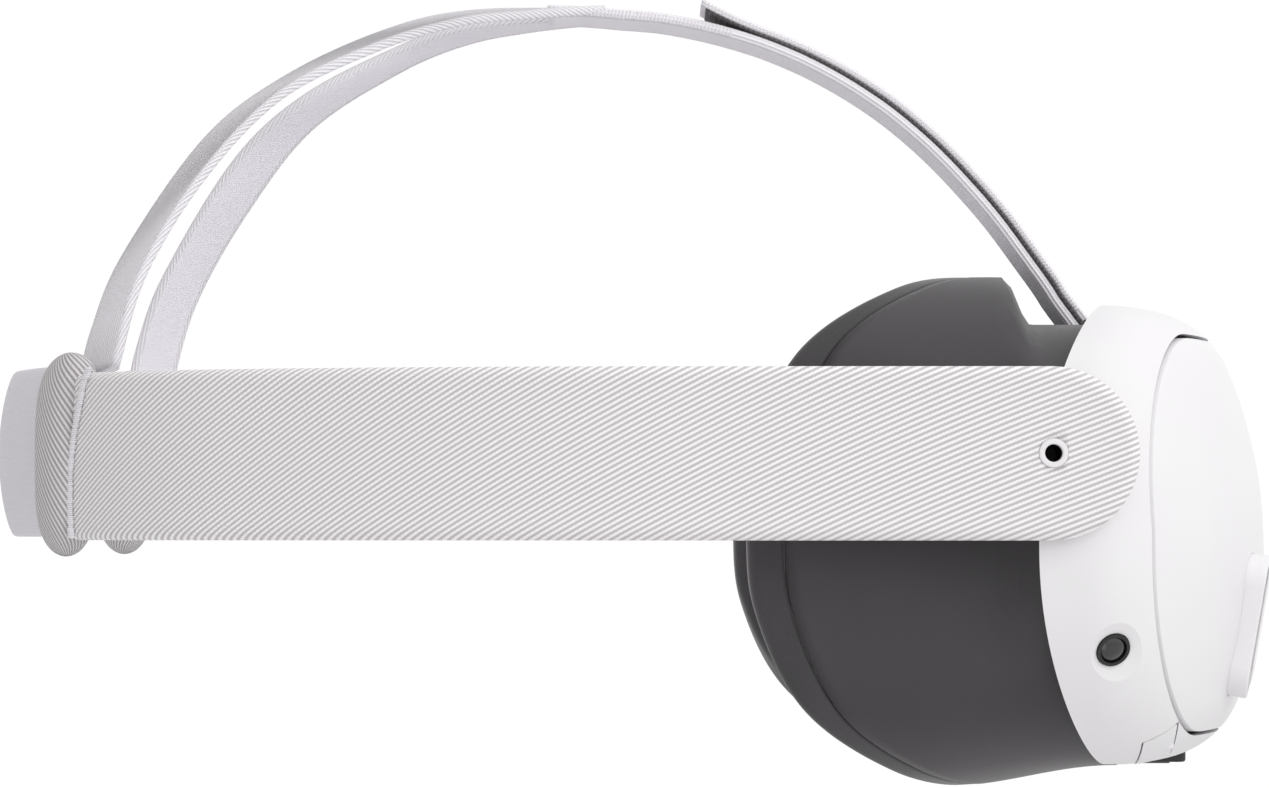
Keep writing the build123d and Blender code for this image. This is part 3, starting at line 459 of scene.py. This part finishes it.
def skin(name, rows, finish, weave=None, caps=True, loop=False, slots=None):
    """Joins rows of points, in metres, into one closed skin. weave gives each point's map."""
    mesh = bpy.data.meshes.new(name)
    body = bmesh.new()
    web = body.loops.layers.uv.new("weave")
    grid = [[body.verts.new(point) for point in row] for row in rows]
    across = len(rows[0])
    last_row = len(rows) if loop else len(rows) - 1
    for i in range(last_row):
        for k in range(across):
            spots = [(i, k), (i, k + 1), (i + 1, k + 1), (i + 1, k)]
            face = body.faces.new([grid[a % len(rows)][b % across] for a, b in spots])
            if slots:
                face.material_index = slots[k]
            if weave:
                for corner, (a, b) in zip(face.loops, spots):
                    corner[web].uv = weave[a % len(rows)][b]
    if caps and not loop:
        for row in (grid[0], grid[-1]):
            body.faces.new(row)
    bmesh.ops.remove_doubles(body, verts=body.verts, dist=1e-6)
    bmesh.ops.recalc_face_normals(body, faces=body.faces)
    body.to_mesh(mesh)
    body.free()
    return make_piece(name, mesh, finish if isinstance(finish, list) else [finish])


def read_off(pairs, at):
    """Value at one place, read off a list of (place, value) pairs that rises in place."""
    for (place0, value0), (place1, value1) in zip(pairs, pairs[1:]):
        if at <= place1:
            return value0 + (value1 - value0) * max(0.0, at - place0) / (place1 - place0)
    return pairs[-1][1]


def round_lengths(section):
    """Distance round a closed outline to each of its points, and back to the first."""
    lengths = [0.0]
    for k in range(1, len(section) + 1):
        a, b = section[k - 1], section[k % len(section)]
        lengths.append(lengths[-1] + math.hypot(a[0] - b[0], a[1] - b[1]))
    return lengths


def smooth_line(points, count, closed=False):
    """Evenly numbered points on a Catmull-Rom curve through the given ones."""
    points = [Vector(p) for p in points]
    spans = len(points) if closed else len(points) - 1
    made = []
    for step in range(count):
        at = step * spans / (count if closed else count - 1)
        i = min(int(at), spans - 1)
        t = at - i
        if closed:
            a, b, c, d = (points[(i + k) % len(points)] for k in (-1, 0, 1, 2))
        else:
            b, c = points[i], points[i + 1]
            a = points[i - 1] if i else b * 2 - c
            d = points[i + 2] if i + 2 < len(points) else c * 2 - b
        made.append(0.5 * (2 * b + (c - a) * t + (2 * a - 5 * b + 4 * c - d) * t * t
                           + (3 * b - a - 3 * c + d) * t ** 3))
    return made


# %% [markdown]
# ## The line round the head
# The side straps and the rear band share one line, seen from above: straight beside the
# temples, a gentle bend along the side of the head, and a tight bend round the back. Every
# strap is set out by its distance along this line, so the pieces always meet.

# %% The line round the head
strap_low, strap_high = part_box("side_strap_right")
band_low, band_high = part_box("rear_band")
strap_thick = 5.6 * mm
band_thick = 4.0 * mm
side_radius = 285.0 * mm
back_centre = joints["slider_right_slide"]["pos_m"][1]
back_radius = band_high.y - band_thick / 2 - back_centre
strap_x = -strap_low.x - strap_thick / 2
side_turn = math.acos((side_radius - strap_x) / (side_radius - back_radius))
bend_start = back_centre - (side_radius - back_radius) * math.sin(side_turn)
pivot = Vector(joints["headband_tilt"]["pos_m"])
side_length = side_radius * side_turn
full_length = side_length + back_radius * (math.pi / 2 - side_turn)


def round_head(s):
    """Point and outward direction at distance s behind the start of the side bend."""
    if s < 0:
        return Vector((-strap_x, bend_start + s, 0)), Vector((-1, 0, 0))
    if s < side_length:
        turn = s / side_radius
        out = Vector((-math.cos(turn), math.sin(turn), 0))
        return Vector((side_radius - strap_x, bend_start, 0)) + out * side_radius, out
    turn = side_turn + (s - side_length) / back_radius
    out = Vector((-math.cos(turn), math.sin(turn), 0))
    return Vector((0, back_centre, 0)) + out * back_radius, out


roll_low, roll_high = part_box("rear_roll_right")
roll_middle = (roll_low + roll_high) / 2
roll_angle = math.atan2(-roll_middle.x, roll_middle.y - back_centre)
roll_s = full_length - back_radius * roll_angle
print("the line is", round(full_length * 1000), "mm to the middle of the back, the roll at",
      round(math.degrees(roll_angle), 1), "degrees")

# %% [markdown]
# ## Side straps
# Each side strap is an elastic sleeve pulled over a springy arm. Its front end is a half
# circle round the tilt pivot. The skin's rows run across the strap, closer together round
# that nose, and its thickness fades to nothing within two millimetres of the outline, which
# gives the soft rounded edge of a sewn sleeve. The ribs climb forwards, steeply at the back
# and gently at the front, so the map's second number follows that changing slope.

# %% Side straps
strap_middle = (strap_low.z + strap_high.z) / 2
strap_half = (strap_high.z - strap_low.z) / 2
edge_round = 2.2 * mm
nose_s = pivot.y - bend_start
strap_end = roll_s + 1.0 * mm
front_slope, slope_gain = 21, 19
rib_squeeze = math.cos(math.radians(30))


def rib_climb(s):
    """Slope of the ribs at s, in rise per length."""
    share = (s - nose_s) / (strap_end - nose_s)
    return math.tan(math.radians(front_slope + slope_gain * min(1.0, max(0.0, share))))


def strap_rows():
    stations = [nose_s - strap_half * math.cos(math.radians(a)) for a in range(0, 90, 5)]
    count = 70
    stations += [nose_s + (strap_end - nose_s) * i / count for i in range(count + 1)]
    shares = [1 - (1 - k / 14) ** 2 for k in range(15)]
    heights = [-w for w in reversed(shares)] + shares[1:]
    rows, weave = [], []
    climbed = 0.0
    for number, s in enumerate(stations):
        if number:
            climbed += rib_climb(s) * (s - stations[number - 1])
        ahead = max(0.0, nose_s - s)
        half = math.sqrt(max(0.0, strap_half ** 2 - ahead ** 2))
        centre, out = round_head(s)
        row, spots = [], []
        for side in (1, -1):
            for w in heights[::side][:-1]:
                z = half * w
                depth = strap_half - math.hypot(ahead, z)
                rise = math.sqrt(max(0.0, 1 - (1 - min(1.0, max(0.0, depth) / edge_round)) ** 2))
                point = centre + out * (side * rise * strap_thick / 2)
                row.append((point.x, point.y, strap_middle + z))
                spots.append((s, (z + climbed) * rib_squeeze))
        rows.append(row)
        weave.append(spots + [spots[0]])
    return rows, weave


def mirrored(rows):
    return [[(-x, y, z) for x, y, z in row] for row in rows]


def punch(piece, cutter):
    """Cuts a hole with a closed shape, then removes the shape."""
    cut = piece.modifiers.new("hole", "BOOLEAN")
    cut.operation = "DIFFERENCE"
    cut.solver = "EXACT"
    cut.object = cutter
    settle(piece)
    bpy.data.objects.remove(cutter)


def settle(piece):
    """Turns a piece and its modifiers into one plain mesh."""
    graph = bpy.context.evaluated_depsgraph_get()
    graph.update()
    mesh = bpy.data.meshes.new_from_object(piece.evaluated_get(graph))
    piece.modifiers.clear()
    piece.data = mesh
    return piece


def peg(name, centre, width, height, length):
    """A pill shape along X, used to cut a hole: width along Y and height along Z."""
    radius = min(width, height) / 2
    rim = []
    for k in range(48):
        turn = 2 * math.pi * k / 48
        y = radius * math.cos(turn) + math.copysign(width / 2 - radius, math.cos(turn))
        z = radius * math.sin(turn) + math.copysign(height / 2 - radius, math.sin(turn))
        rim.append((y, z))
    rows = [[(centre.x + x, centre.y + y, centre.z + z) for y, z in rim]
            for x in (-length / 2, length / 2)]
    return skin(name, rows, strap_knit)


jack_hole = 6.1 * mm
port_hole_wide, port_hole_high = 12.2 * mm, 6.2 * mm
hole_depth = 12 * mm
rows, weave = strap_rows()
for side, ways in (("right", -1), ("left", 1)):
    strap = skin("strap_sleeve_" + side, rows if ways < 0 else mirrored(rows), strap_knit, weave)
    mouth = Vector((ways * (strap_x + 2 * mm), pivot.y, pivot.z))
    if side == "right":
        punch(strap, peg("jack_hole", mouth, jack_hole, jack_hole, hole_depth))
    else:
        punch(strap, peg("port_hole", mouth, port_hole_wide, port_hole_high, hole_depth))
    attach(strap, "headband")
    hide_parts("side_strap_" + side)
    print(strap.name, len(strap.data.polygons), "faces")

# %% [markdown]
# ## Rear band
# The rear band is a flexible strip in smooth jersey that cups the back of the head. It is
# crowned: its middle bulges backwards more than its edges. Its ends go into the two rolls.

# %% Rear band
def rear_band_rows():
    half = (band_high.z - band_low.z) / 2
    centre_z = (band_high.z + band_low.z) / 2
    crown_height, edge_drop = 2.4 * mm, 1.6 * mm
    steps = 72
    count = 40
    rows = []
    for i in range(steps + 1):
        angle = roll_angle * (1 - 2 * i / steps)
        out = Vector((-math.sin(angle), math.cos(angle), 0))
        row = []
        for k in range(count):
            turn = 2 * math.pi * k / count
            z = half * math.copysign(abs(math.sin(turn)) ** 0.7, math.sin(turn))
            n = band_thick / 2 * math.copysign(abs(math.cos(turn)) ** 0.45, math.cos(turn))
            crown = crown_height * (1 - (z / half) ** 2) - edge_drop
            point = Vector((0, back_centre, 0)) + out * (back_radius + n + crown)
            row.append((point.x, point.y, centre_z + z))
        rows.append(row)
    return rows


rear_band = skin("rear_band_cover", rear_band_rows(), band_jersey)
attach(rear_band, "headband")
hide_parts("rear_band")

# %% [markdown]
# ## Padded rolls
# Where the side straps meet the rear band, each side has a padded roll that slides along the
# band to set the fit. A roll is an upright sausage. It starts as a rounded form a little under
# size and is blown up as cloth, the way a stuffed cover fills. The cover is stiff, so it swells
# very little, and it gets one subdivision.

# %% Stuffing a cover
def stuff(piece, push, most):
    """Blows a closed cover up as cloth and keeps every point within most of its start."""
    start = [v.co.copy() for v in piece.data.vertices]
    cloth = piece.modifiers.new("cloth", "CLOTH")
    cloth.settings.use_pressure = True
    cloth.settings.uniform_pressure_force = push
    cloth.settings.effector_weights.gravity = 0.0
    for number in range(1, 21):
        scene.frame_set(number)
    settle(piece)
    scene.frame_set(1)
    moved = 0.0
    for vertex, first in zip(piece.data.vertices, start):
        shift = vertex.co - first
        if shift.length > most:
            vertex.co = first + shift * (most / shift.length)
        moved = max(moved, min(most, shift.length))
    finer = piece.modifiers.new("finer", "SUBSURF")
    finer.levels = 1
    finer.render_levels = 1
    settle(piece)
    piece.data.polygons.foreach_set("use_smooth", [True] * len(piece.data.polygons))
    print(piece.name, "swelled by up to", round(moved * 1000, 2), "mm")
    return piece


# %% [markdown]
# Each roll is fuller at its top, where it leans forward over the strap. Its rows sit closer
# together near the ends, so that the ends close round and not to a point.

# %% Rolls
roll_half = (roll_high.z - roll_low.z) / 2
roll_wide = 7.0 * mm
roll_deep = 6.0 * mm
top_lean = 5.0 * mm
cover_ease = 0.8 * mm
for side, ways in (("right", -1), ("left", 1)):
    centre = Vector((ways * back_radius * math.sin(roll_angle),
                     back_centre + back_radius * math.cos(roll_angle), roll_middle.z))
    out = Vector((ways * math.sin(roll_angle), math.cos(roll_angle), 0))
    ahead = Vector((ways * math.cos(roll_angle), -math.sin(roll_angle), 0))
    rows = []
    for i in range(33):
        lift = math.sin(math.pi / 2 * (i / 16 - 1))
        full = max(0.0, 1 - abs(lift) ** 4) ** 0.5
        lean = top_lean * max(0.0, lift) ** 3
        row = []
        for k in range(40):
            turn = 2 * math.pi * k / 40
            wide, deep = (math.copysign(abs(f(turn)) ** 0.8, f(turn)) for f in (math.cos, math.sin))
            reach = full * (roll_wide * wide + lean * max(0.0, wide)) + lean * 0.3
            point = centre + ahead * reach + out * (full * roll_deep * deep)
            row.append((point.x, point.y, centre.z + lift * (roll_half - cover_ease)))
        rows.append(row)
    knit = wrapped_knit("roll_knit_" + side, centre, math.atan2(ahead.y, ahead.x), 36, -ways)
    roll = skin("roll_cover_" + side, rows, knit, caps=False)
    stuff(roll, 4.0, 0.7 * mm)
    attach(roll, "slider_" + side)
    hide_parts("rear_roll_" + side)

# %% [markdown]
# ## Stitches
# A sewing machine repeats one small thing along a line, and Geometry Nodes does the same: it
# puts one drop of thread on every point of a line and turns it along the seam. Each point
# carries two directions of its own, along the stitch and out of the cloth. A seeded random
# size keeps the row from looking printed.

# %% A row of stitches
def repeat_group():
    """A node group that puts one stitch on each point of its mesh."""
    group = bpy.data.node_groups.new("stitch_row", "GeometryNodeTree")
    fields = (("Geometry", "NodeSocketGeometry"), ("Length", "NodeSocketFloat"),
              ("Width", "NodeSocketFloat"), ("Height", "NodeSocketFloat"),
              ("Unevenness", "NodeSocketFloat"), ("Seed", "NodeSocketInt"),
              ("Finish", "NodeSocketMaterial"))
    for label, kind in fields:
        group.interface.new_socket(label, in_out="INPUT", socket_type=kind)
    group.interface.new_socket("Geometry", in_out="OUTPUT", socket_type="NodeSocketGeometry")

    def node(kind, settings=None, sockets=None):
        made = group.nodes.new(kind)
        for key, value in (settings or {}).items():
            setattr(made, key, value)
        for key, value in (sockets or {}).items():
            if isinstance(value, bpy.types.NodeSocket):
                group.links.new(value, made.inputs[key])
            else:
                made.inputs[key].default_value = value
        return made.outputs

    given = node("NodeGroupInput")
    drop = node("GeometryNodeMeshUVSphere", {}, {"Segments": 8, "Rings": 6, "Radius": 0.5})
    along, out = (node("GeometryNodeInputNamedAttribute", {"data_type": "FLOAT_VECTOR"}, {"Name": name})
                  for name in ("along", "out"))
    facing = node("FunctionNodeAlignRotationToVector", {"axis": "Z"}, {"Vector": out["Attribute"]})
    turned = node("FunctionNodeAlignRotationToVector", {"axis": "X", "pivot_axis": "Z"},
                  {"Rotation": facing["Rotation"], "Vector": along["Attribute"]})
    size = node("ShaderNodeCombineXYZ", {},
                {"X": given["Length"], "Y": given["Width"], "Z": given["Height"]})
    least = node("ShaderNodeMath", {"operation": "SUBTRACT"}, {0: 1.0, 1: given["Unevenness"]})
    most = node("ShaderNodeMath", {"operation": "ADD"}, {0: 1.0, 1: given["Unevenness"]})
    chance = node("FunctionNodeRandomValue", {"data_type": "FLOAT"},
                  {2: least["Value"], 3: most["Value"], 8: given["Seed"]})
    varied = node("ShaderNodeVectorMath", {"operation": "SCALE"},
                  {0: size["Vector"], 3: chance[1]})
    row = node("GeometryNodeInstanceOnPoints", {},
               {"Points": given["Geometry"], "Instance": drop["Mesh"],
                "Rotation": turned["Rotation"], "Scale": varied["Vector"]})
    real = node("GeometryNodeRealizeInstances", {}, {"Geometry": row["Instances"]})
    painted = node("GeometryNodeSetMaterial", {},
                   {"Geometry": real["Geometry"], "Material": given["Finish"]})
    node("NodeGroupOutput", {}, {"Geometry": painted["Geometry"]})
    return group


stitch_row = repeat_group()


def sew(name, spots, length, width, height, finish, seed=1):
    """Sews one stitch on each spot, given as a point and its two directions."""
    mesh = bpy.data.meshes.new(name)
    mesh.from_pydata([spot[0] for spot in spots], [], [])
    for number, label in ((1, "along"), (2, "out")):
        layer = mesh.attributes.new(label, "FLOAT_VECTOR", "POINT")
        layer.data.foreach_set("vector", [c for spot in spots for c in spot[number]])
    piece = bpy.data.objects.new(name, mesh)
    scene.collection.objects.link(piece)
    row = piece.modifiers.new("stitches", "NODES")
    row.node_group = stitch_row
    wanted = {"Length": length, "Width": width, "Height": height, "Unevenness": 0.12,
              "Seed": seed, "Finish": finish}
    for item in stitch_row.interface.items_tree:
        if item.in_out == "INPUT" and item.name in wanted:
            row[item.identifier] = wanted[item.name]
    settle(piece)
    piece.data.polygons.foreach_set("use_smooth", [True] * len(piece.data.polygons))
    print(name, "has", len(spots), "stitches")
    return piece


# %% [markdown]
# ## Hem between roll and strap
# Where the side strap runs into the roll, the roll's cover ends in a light hem of short level
# ribs. It leans: at the top it is further forward than at the bottom.

# %% Hem of each roll
# heights in mm, each with how far the hem runs ahead of the roll's middle
hem_line = [(-1.5, 6.6), (6.4, 6.0), (13.4, 6.1), (20.4, 7.3), (25, 8.7), (31, 10.4), (34.6, 12.2)]
hem_ribs = 84
hem_low, hem_rise = -1.0, 35.4
hem_proud = 0.35 * mm

for side, ways in (("right", -1), ("left", 1)):
    spots = []
    for i in range(hem_ribs):
        z = hem_low + hem_rise * i / (hem_ribs - 1)
        point, out = round_head(roll_s - read_off(hem_line, z) * mm)
        tangent = Vector((-out.y, out.x, 0))
        point = point + out * (strap_thick / 2 + hem_proud)
        spots.append([Vector((-ways * v.x, v.y, lift)) for v, lift in
                      ((point, z * mm), (tangent, 0), (out, 0))])
    hem = sew("roll_hem_" + side, spots, 2.3 * mm, 0.55 * mm, 1.0 * mm, thread_white, 3)
    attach(hem, "slider_" + side)

# %% [markdown]
# ## Strap over the head
# One flat woven strap starts at a loop on the visor, goes over the head and forks into two
# branches that come down to the rolls. It folds back on itself at the front, where a dark
# strip of hook tape holds the layers together. All layers share one arch, so each is a skin
# at its own height above that arch.

# %% The arch over the head
arch_start = Vector((0, -42.4, 47.8)) * mm
arch_heading = math.radians(53)
arch_runs = ((22.0 * mm, None), (127.0 * mm, -53.0), (100.0 * mm, -74.0))


def over_head(s):
    """Point on the arch at distance s from the visor, and its upward direction."""
    at, heading = arch_start.copy(), arch_heading
    for size, turn in arch_runs:
        length = size if turn is None else size * math.radians(-turn)
        part = min(s, length)
        if turn is None:
            at = at + Vector((0, math.cos(heading), math.sin(heading))) * part
        else:
            up = Vector((0, -math.sin(heading), math.cos(heading)))
            hub = at - up * size
            heading -= part / size
            at = hub + Vector((0, -math.sin(heading), math.cos(heading))) * size
        s -= part
        if s <= 0:
            break
    return at, Vector((0, -math.sin(heading), math.cos(heading)))


def flat_section(half_wide, half_thick, round_share=0.9):
    """Outline of a flat strap's cut end, with round edges: (across, up) pairs."""
    section = []
    for side in (1, -1):
        turns = [math.radians(90 - 22.5 * k) for k in range(9)]
        rim = half_thick * round_share
        section += [(side * (half_wide - rim + rim * math.cos(t)), side * half_thick * math.sin(t))
                    for t in turns]
        spread = [0.8, 0.4, 0.0, -0.4, -0.8]
        section += [(side * w * (half_wide - rim), -side * half_thick) for w in spread]
    return section


curl_reach = 16 * mm
# depths in mm, each with how far the strap hangs outside its tight line
slack = [(-40, 0.2), (-37.5, 0.6), (-28.5, 0.9), (-19.6, 1.1), (-10.6, 1.6), (-1.6, 2.0), (7.4, 2.1),
         (16.3, 2.1), (25.3, 1.9), (38.8, 1.3), (47.8, 0.9), (56.7, 0.2), (120, 0.2)]


def lifted(at, s, end, curl):
    """How far a layer stands off the arch there: its slack, and the curl of its free end."""
    near_end = max(0.0, 1 - (end - s) / curl_reach)
    return read_off(slack, at.y / mm) * mm + curl * near_end ** 2


def arch_skin(name, s0, s1, low, high, half_wide, finish, curl=0.0, slots=None):
    """A layer of the strap from s0 to s1, between two heights above the arch."""
    steps = 60
    section = flat_section(half_wide, (high - low) / 2)
    lengths = round_lengths(section)
    rows, weave = [], []
    for i in range(steps + 1):
        s = s0 + (s1 - s0) * i / steps
        at, up = over_head(s)
        lift = (low + high) / 2 + lifted(at, s, s1, curl)
        rows.append([at + up * (lift + n) + Vector((w, 0, 0)) for w, n in section])
        weave.append([(s, length) for length in lengths])
    return skin(name, rows, finish, weave, slots=slots)


lining_side = [1 if 9 <= k < 14 else 0 for k in range(28)]
arch_length = sum(size if turn is None else size * math.radians(-turn) for size, turn in arch_runs)
strap_half_thick = 1.25 * mm
top_half_wide = 11.0 * mm
fork_s = next(i * mm for i in range(400) if over_head(i * mm)[0].y > 72 * mm)
tip_s = next(i * mm for i in range(400) if over_head(i * mm)[0].y > 40 * mm)
strap_start = -5 * mm
curl = 2.4 * mm
top_strap = arch_skin("top_strap_web", strap_start, fork_s, -strap_half_thick, strap_half_thick,
                      top_half_wide, [webbing_knit, soft_lining], slots=lining_side)
tape = arch_skin("hook_tape_strip", strap_start, tip_s - 1.2 * mm, strap_half_thick + 0.05 * mm,
                 strap_half_thick + 0.7 * mm, top_half_wide - 0.4 * mm, hooks, curl)
flap = arch_skin("fold_back_flap", strap_start, tip_s, strap_half_thick + 0.75 * mm,
                 strap_half_thick + 2.3 * mm, top_half_wide, webbing_knit, curl)
bend_from = over_head(4 * mm)[0]
bend_to = over_head(60 * mm)[0]
for piece, node_names, slot_name in (
        (top_strap, ("top_strap", "front_strap_loop"), "strap_fabric"),
        (tape, ("hook_pad",), "hook_tape"),
        (flap, ("hook_flap",), "strap_fabric")):
    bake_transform(piece)
    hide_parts(*node_names)
print("arch", round(arch_length * 1000), "mm, flap ends at", round(tip_s * 1000), "mm")

# %% [markdown]
# The cut edges of the webbing are bound with overlocked thread: stitches that lie across the
# edge, close together, all the way along.

# %% Bound edges
def edge_spots(s0, s1, height, half_wide, curl_by):
    """Places for stitches along both edges of a layer, from s0 to s1."""
    spots = []
    count = int((s1 - s0) / (0.8 * mm))
    for i in range(count + 1):
        s = s0 + (s1 - s0) * i / count
        at, up = over_head(s)
        lift = height + lifted(at, s, s1, curl_by)
        for side in (-1, 1):
            edge = at + up * lift + Vector((side * half_wide, 0, 0))
            spots.append((edge, up, Vector((side, 0, 0))))
    return spots


flap_middle = strap_half_thick + 1.52 * mm
bound_edges = (
    ("flap_edge_stitches", 0.0, tip_s - 1 * mm, flap_middle, 1.2 * mm, curl),
    ("strap_edge_stitches", tip_s - 8 * mm, fork_s, 0.0, 2.3 * mm, 0.0))
for name, s0, s1, height, length, curl_by in bound_edges:
    spots = edge_spots(s0, s1, height, top_half_wide - 0.1 * mm, curl_by)
    edge = sew(name, spots, length, 0.6 * mm, 0.7 * mm, thread_white, 5)
    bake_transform(edge)

# %% [markdown]
# ## Branches
# Behind the crown the strap forks. Each branch is a flat tape that twists as it comes down,
# from lying flat on the head to standing against the roll. Two edges are enough to
# make it: a smooth curve along the inner edge and one along the outer edge, with the tape's
# section stretched between them at every station.

# %% Branches
inner_edge = [(0.8, 60, 116.6), (9, 90, 115.5), (17.8, 109.4, 110), (22.5, 130.8, 99.2),
              (31, 147.6, 84.5), (39, 164, 58.5), (41.7, 170, 42.6), (43, 172.5, 32)]
outer_edge = [(10.8, 60, 116.4), (13.5, 77, 114.7), (18, 90.7, 112.6), (24, 107.4, 106.6),
              (33, 128, 94.5), (42, 144, 76), (50, 157, 55), (54, 163.4, 35)]


# the right tape has twisted a little more than the left one
outer_right = [(10.8, 60, 116.4), (13.5, 77, 114.8), (18, 91, 113), (24, 108.1, 107.3),
               (33, 129.4, 95.8), (42, 145.8, 77.5), (50, 158, 55.6), (54, 163.4, 35)]


def branch_rows(ways):
    steps = 64
    inner = smooth_line([Vector(p) * mm for p in inner_edge], steps + 1)
    edge = outer_right if ways < 0 else outer_edge
    outer = smooth_line([Vector(p) * mm for p in edge], steps + 1)
    rows, weave = [], []
    gone = 0.0
    for i in range(steps + 1):
        a, b = inner[i], outer[i]
        middle_line = (a + b) / 2
        ahead = (inner[min(i + 1, steps)] + outer[min(i + 1, steps)]
                 - inner[max(i - 1, 0)] - outer[max(i - 1, 0)]).normalized()
        across = (b - a)
        half_wide = across.length / 2
        across.normalize()
        up = across.cross(ahead).normalized()
        if up.z < 0:
            up = -up
        if i:
            gone += ((inner[i] + outer[i]) / 2 - (inner[i - 1] + outer[i - 1]) / 2).length
        section = flat_section(half_wide, 1.1 * mm)
        row = [middle_line + across * w + up * n for w, n in section]
        rows.append([(ways * p.x, p.y, p.z) for p in row])
        weave.append([(gone, length + gone * 0.5) for length in round_lengths(section)])
    return rows, weave


for side, ways in (("right", -1), ("left", 1)):
    rows, weave = branch_rows(ways)
    branch = skin("strap_branch_web_" + side, rows, [webbing_knit, soft_lining], weave,
                  slots=lining_side)
    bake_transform(branch)
    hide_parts("strap_branch_" + side)

# %% [markdown]
# ## Facial interface
# The dark hood between the visor and the face is one moulded piece. In front it has the
# outline of the visor, and behind it has the outline of a face, with a gap for the nose. Two
# closed curves with matching points describe it, and the wall is drawn between them. Along
# the top it runs straight back and then flares up, so the rise is kept for its last part.

# %% Facial interface
neck_outline = [(0, 45), (30, 45), (58, 42.6), (75, 32), (81, 14), (82, -2), (80, -20), (72, -37),
                (56, -47.5), (36, -50), (24, -46), (16, -36), (9, -27), (0, -23)]
lip_outline = [(0, 55.4), (30, 55.4), (56, 52.4), (72, 39.5), (78, 18), (78, 0), (78, -18),
               (72.2, -38.3), (56, -50.8), (36, -54.8), (24, -51), (16, -38), (9, -27), (0, -23)]
lip_depth = [-18.6, -18.2, -1.5, 18.6, 28.6, 30, 28, 18, 0.4, -14, -18, -22, -25, -25]
around = 208


def both_halves(outline, depths):
    half = [(x, y, z) for (x, z), y in zip(outline, depths)]
    return half + [(-x, y, z) for x, y, z in half[-2:0:-1]]


def housing_rear(x):
    """Depth just inside the visor's curved rear edge."""
    radius, centre_y = 190.0, 137.0
    return centre_y - math.sqrt(radius ** 2 - x ** 2) - 1.5


neck_depth = [housing_rear(x) for x, z in neck_outline]
neck_line = smooth_line(both_halves(neck_outline, neck_depth), around, True)
lip_line = smooth_line(both_halves(lip_outline, lip_depth), around, True)
seam_back = 8.0
side_top = 30
flare_start, flare_length = -31, 5.5


def hood_point(k, depth_share):
    """Point of the hood's wall at outline place k, from 0 at the visor to 1 at the face."""
    a, b = neck_line[k % around], lip_line[k % around]
    y = a.y + (b.y - a.y) * depth_share
    topness = min(1.0, max(0.0, (b.z - side_top) / 15))
    rise = min(1.0, max(0.0, (y - flare_start) / flare_length))
    late = rise * rise * (3 - 2 * rise)
    even = depth_share * depth_share * (3 - 2 * depth_share)
    share = even + (late - even) * topness
    x, z = a.x + (b.x - a.x) * late, a.z + (b.z - a.z) * share
    return Vector((x, y, z))


def inwards(k, distance):
    """Step from the wall towards the middle of the hood, square to the outline."""
    here, after = lip_line[(k - 1) % around], lip_line[(k + 1) % around]
    side = Vector((after.x - here.x, 0, after.z - here.z)).normalized()
    return Vector((side.z, 0, -side.x)) * distance


def hood_rows():
    stations = [i / 18 for i in range(19)]
    shell = []
    for share in stations:
        row = []
        for k in range(around):
            a, b = neck_line[k], lip_line[k]
            length = (b - a).length
            row.append(hood_point(k, share * (1 - seam_back / length)))
        shell.append(row)
    wall = 2.2
    inner = [[p + inwards(k, wall) for k, p in enumerate(row)] for row in reversed(shell)]
    return [[p * mm for p in row] for row in shell + inner]


hood = skin("interface_hood", hood_rows(), dark_interface, loop=True)
for side in ("right", "left"):
    key_low, key_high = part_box("interface_button_" + side)
    room = (key_high - key_low) + Vector((0, 0.7, 0.7)) * mm
    punch(hood, peg("button_hole", (key_low + key_high) / 2, room.y, room.z, 16 * mm))
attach(hood, "facial_interface")
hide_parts("interface_frame")


# %% [markdown]
# ## Face cushion
# The cushion is a soft ring on the hood's rear edge. Its section is a rectangle with round
# corners, and it is thinner over the nose, where the lens units come close together. It is
# blown up as cloth too.

# %% Face cushion
def round_corners(wide, tall, radii, steps=4):
    """Outline of a rectangle whose corners have their own radii, from (0, 0) anticlockwise."""
    corners = [(0, 0, 180), (wide, 0, 270), (wide, tall, 0), (0, tall, 90)]
    outline = []
    for (x, y, start), radius in zip(corners, radii):
        cx = radius if x == 0 else wide - radius
        cy = radius if y == 0 else tall - radius
        for i in range(steps + 1):
            turn = math.radians(start + 90 * i / steps)
            outline.append((cx + radius * math.cos(turn), cy + radius * math.sin(turn)))
        if x == y == 0 or (x, y) == (wide, tall):
            outline.append((wide / 2, y))
        else:
            outline.append((x, tall / 2))
    return outline


def cushion_rows():
    gap_at_seam = 0.35
    thick, nose_thinning, nose_reach = 11.0, 8.0, 30
    rows = []
    for k in range(around):
        lip = lip_line[k]
        start = hood_point(k, 1 - (seam_back - gap_at_seam) / (lip - neck_line[k]).length)
        length = (lip - start).length
        back, inner = (lip - start).normalized(), inwards(k, 1.0)
        over_nose = max(0.0, 1 - abs(lip.x) / nose_reach) if lip.z < 0 else 0.0
        section = round_corners(length, thick - nose_thinning * over_nose, (0.8, 2.6, 3.4, 0.8))
        rows.append([(start + back * u + inner * v) * mm for u, v in section])
    return rows


cushion = skin("face_cushion", cushion_rows(), cushion_skin, loop=True)
stuff(cushion, 4.0, 0.6 * mm)
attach(cushion, "facial_interface")
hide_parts("interface_cushion")
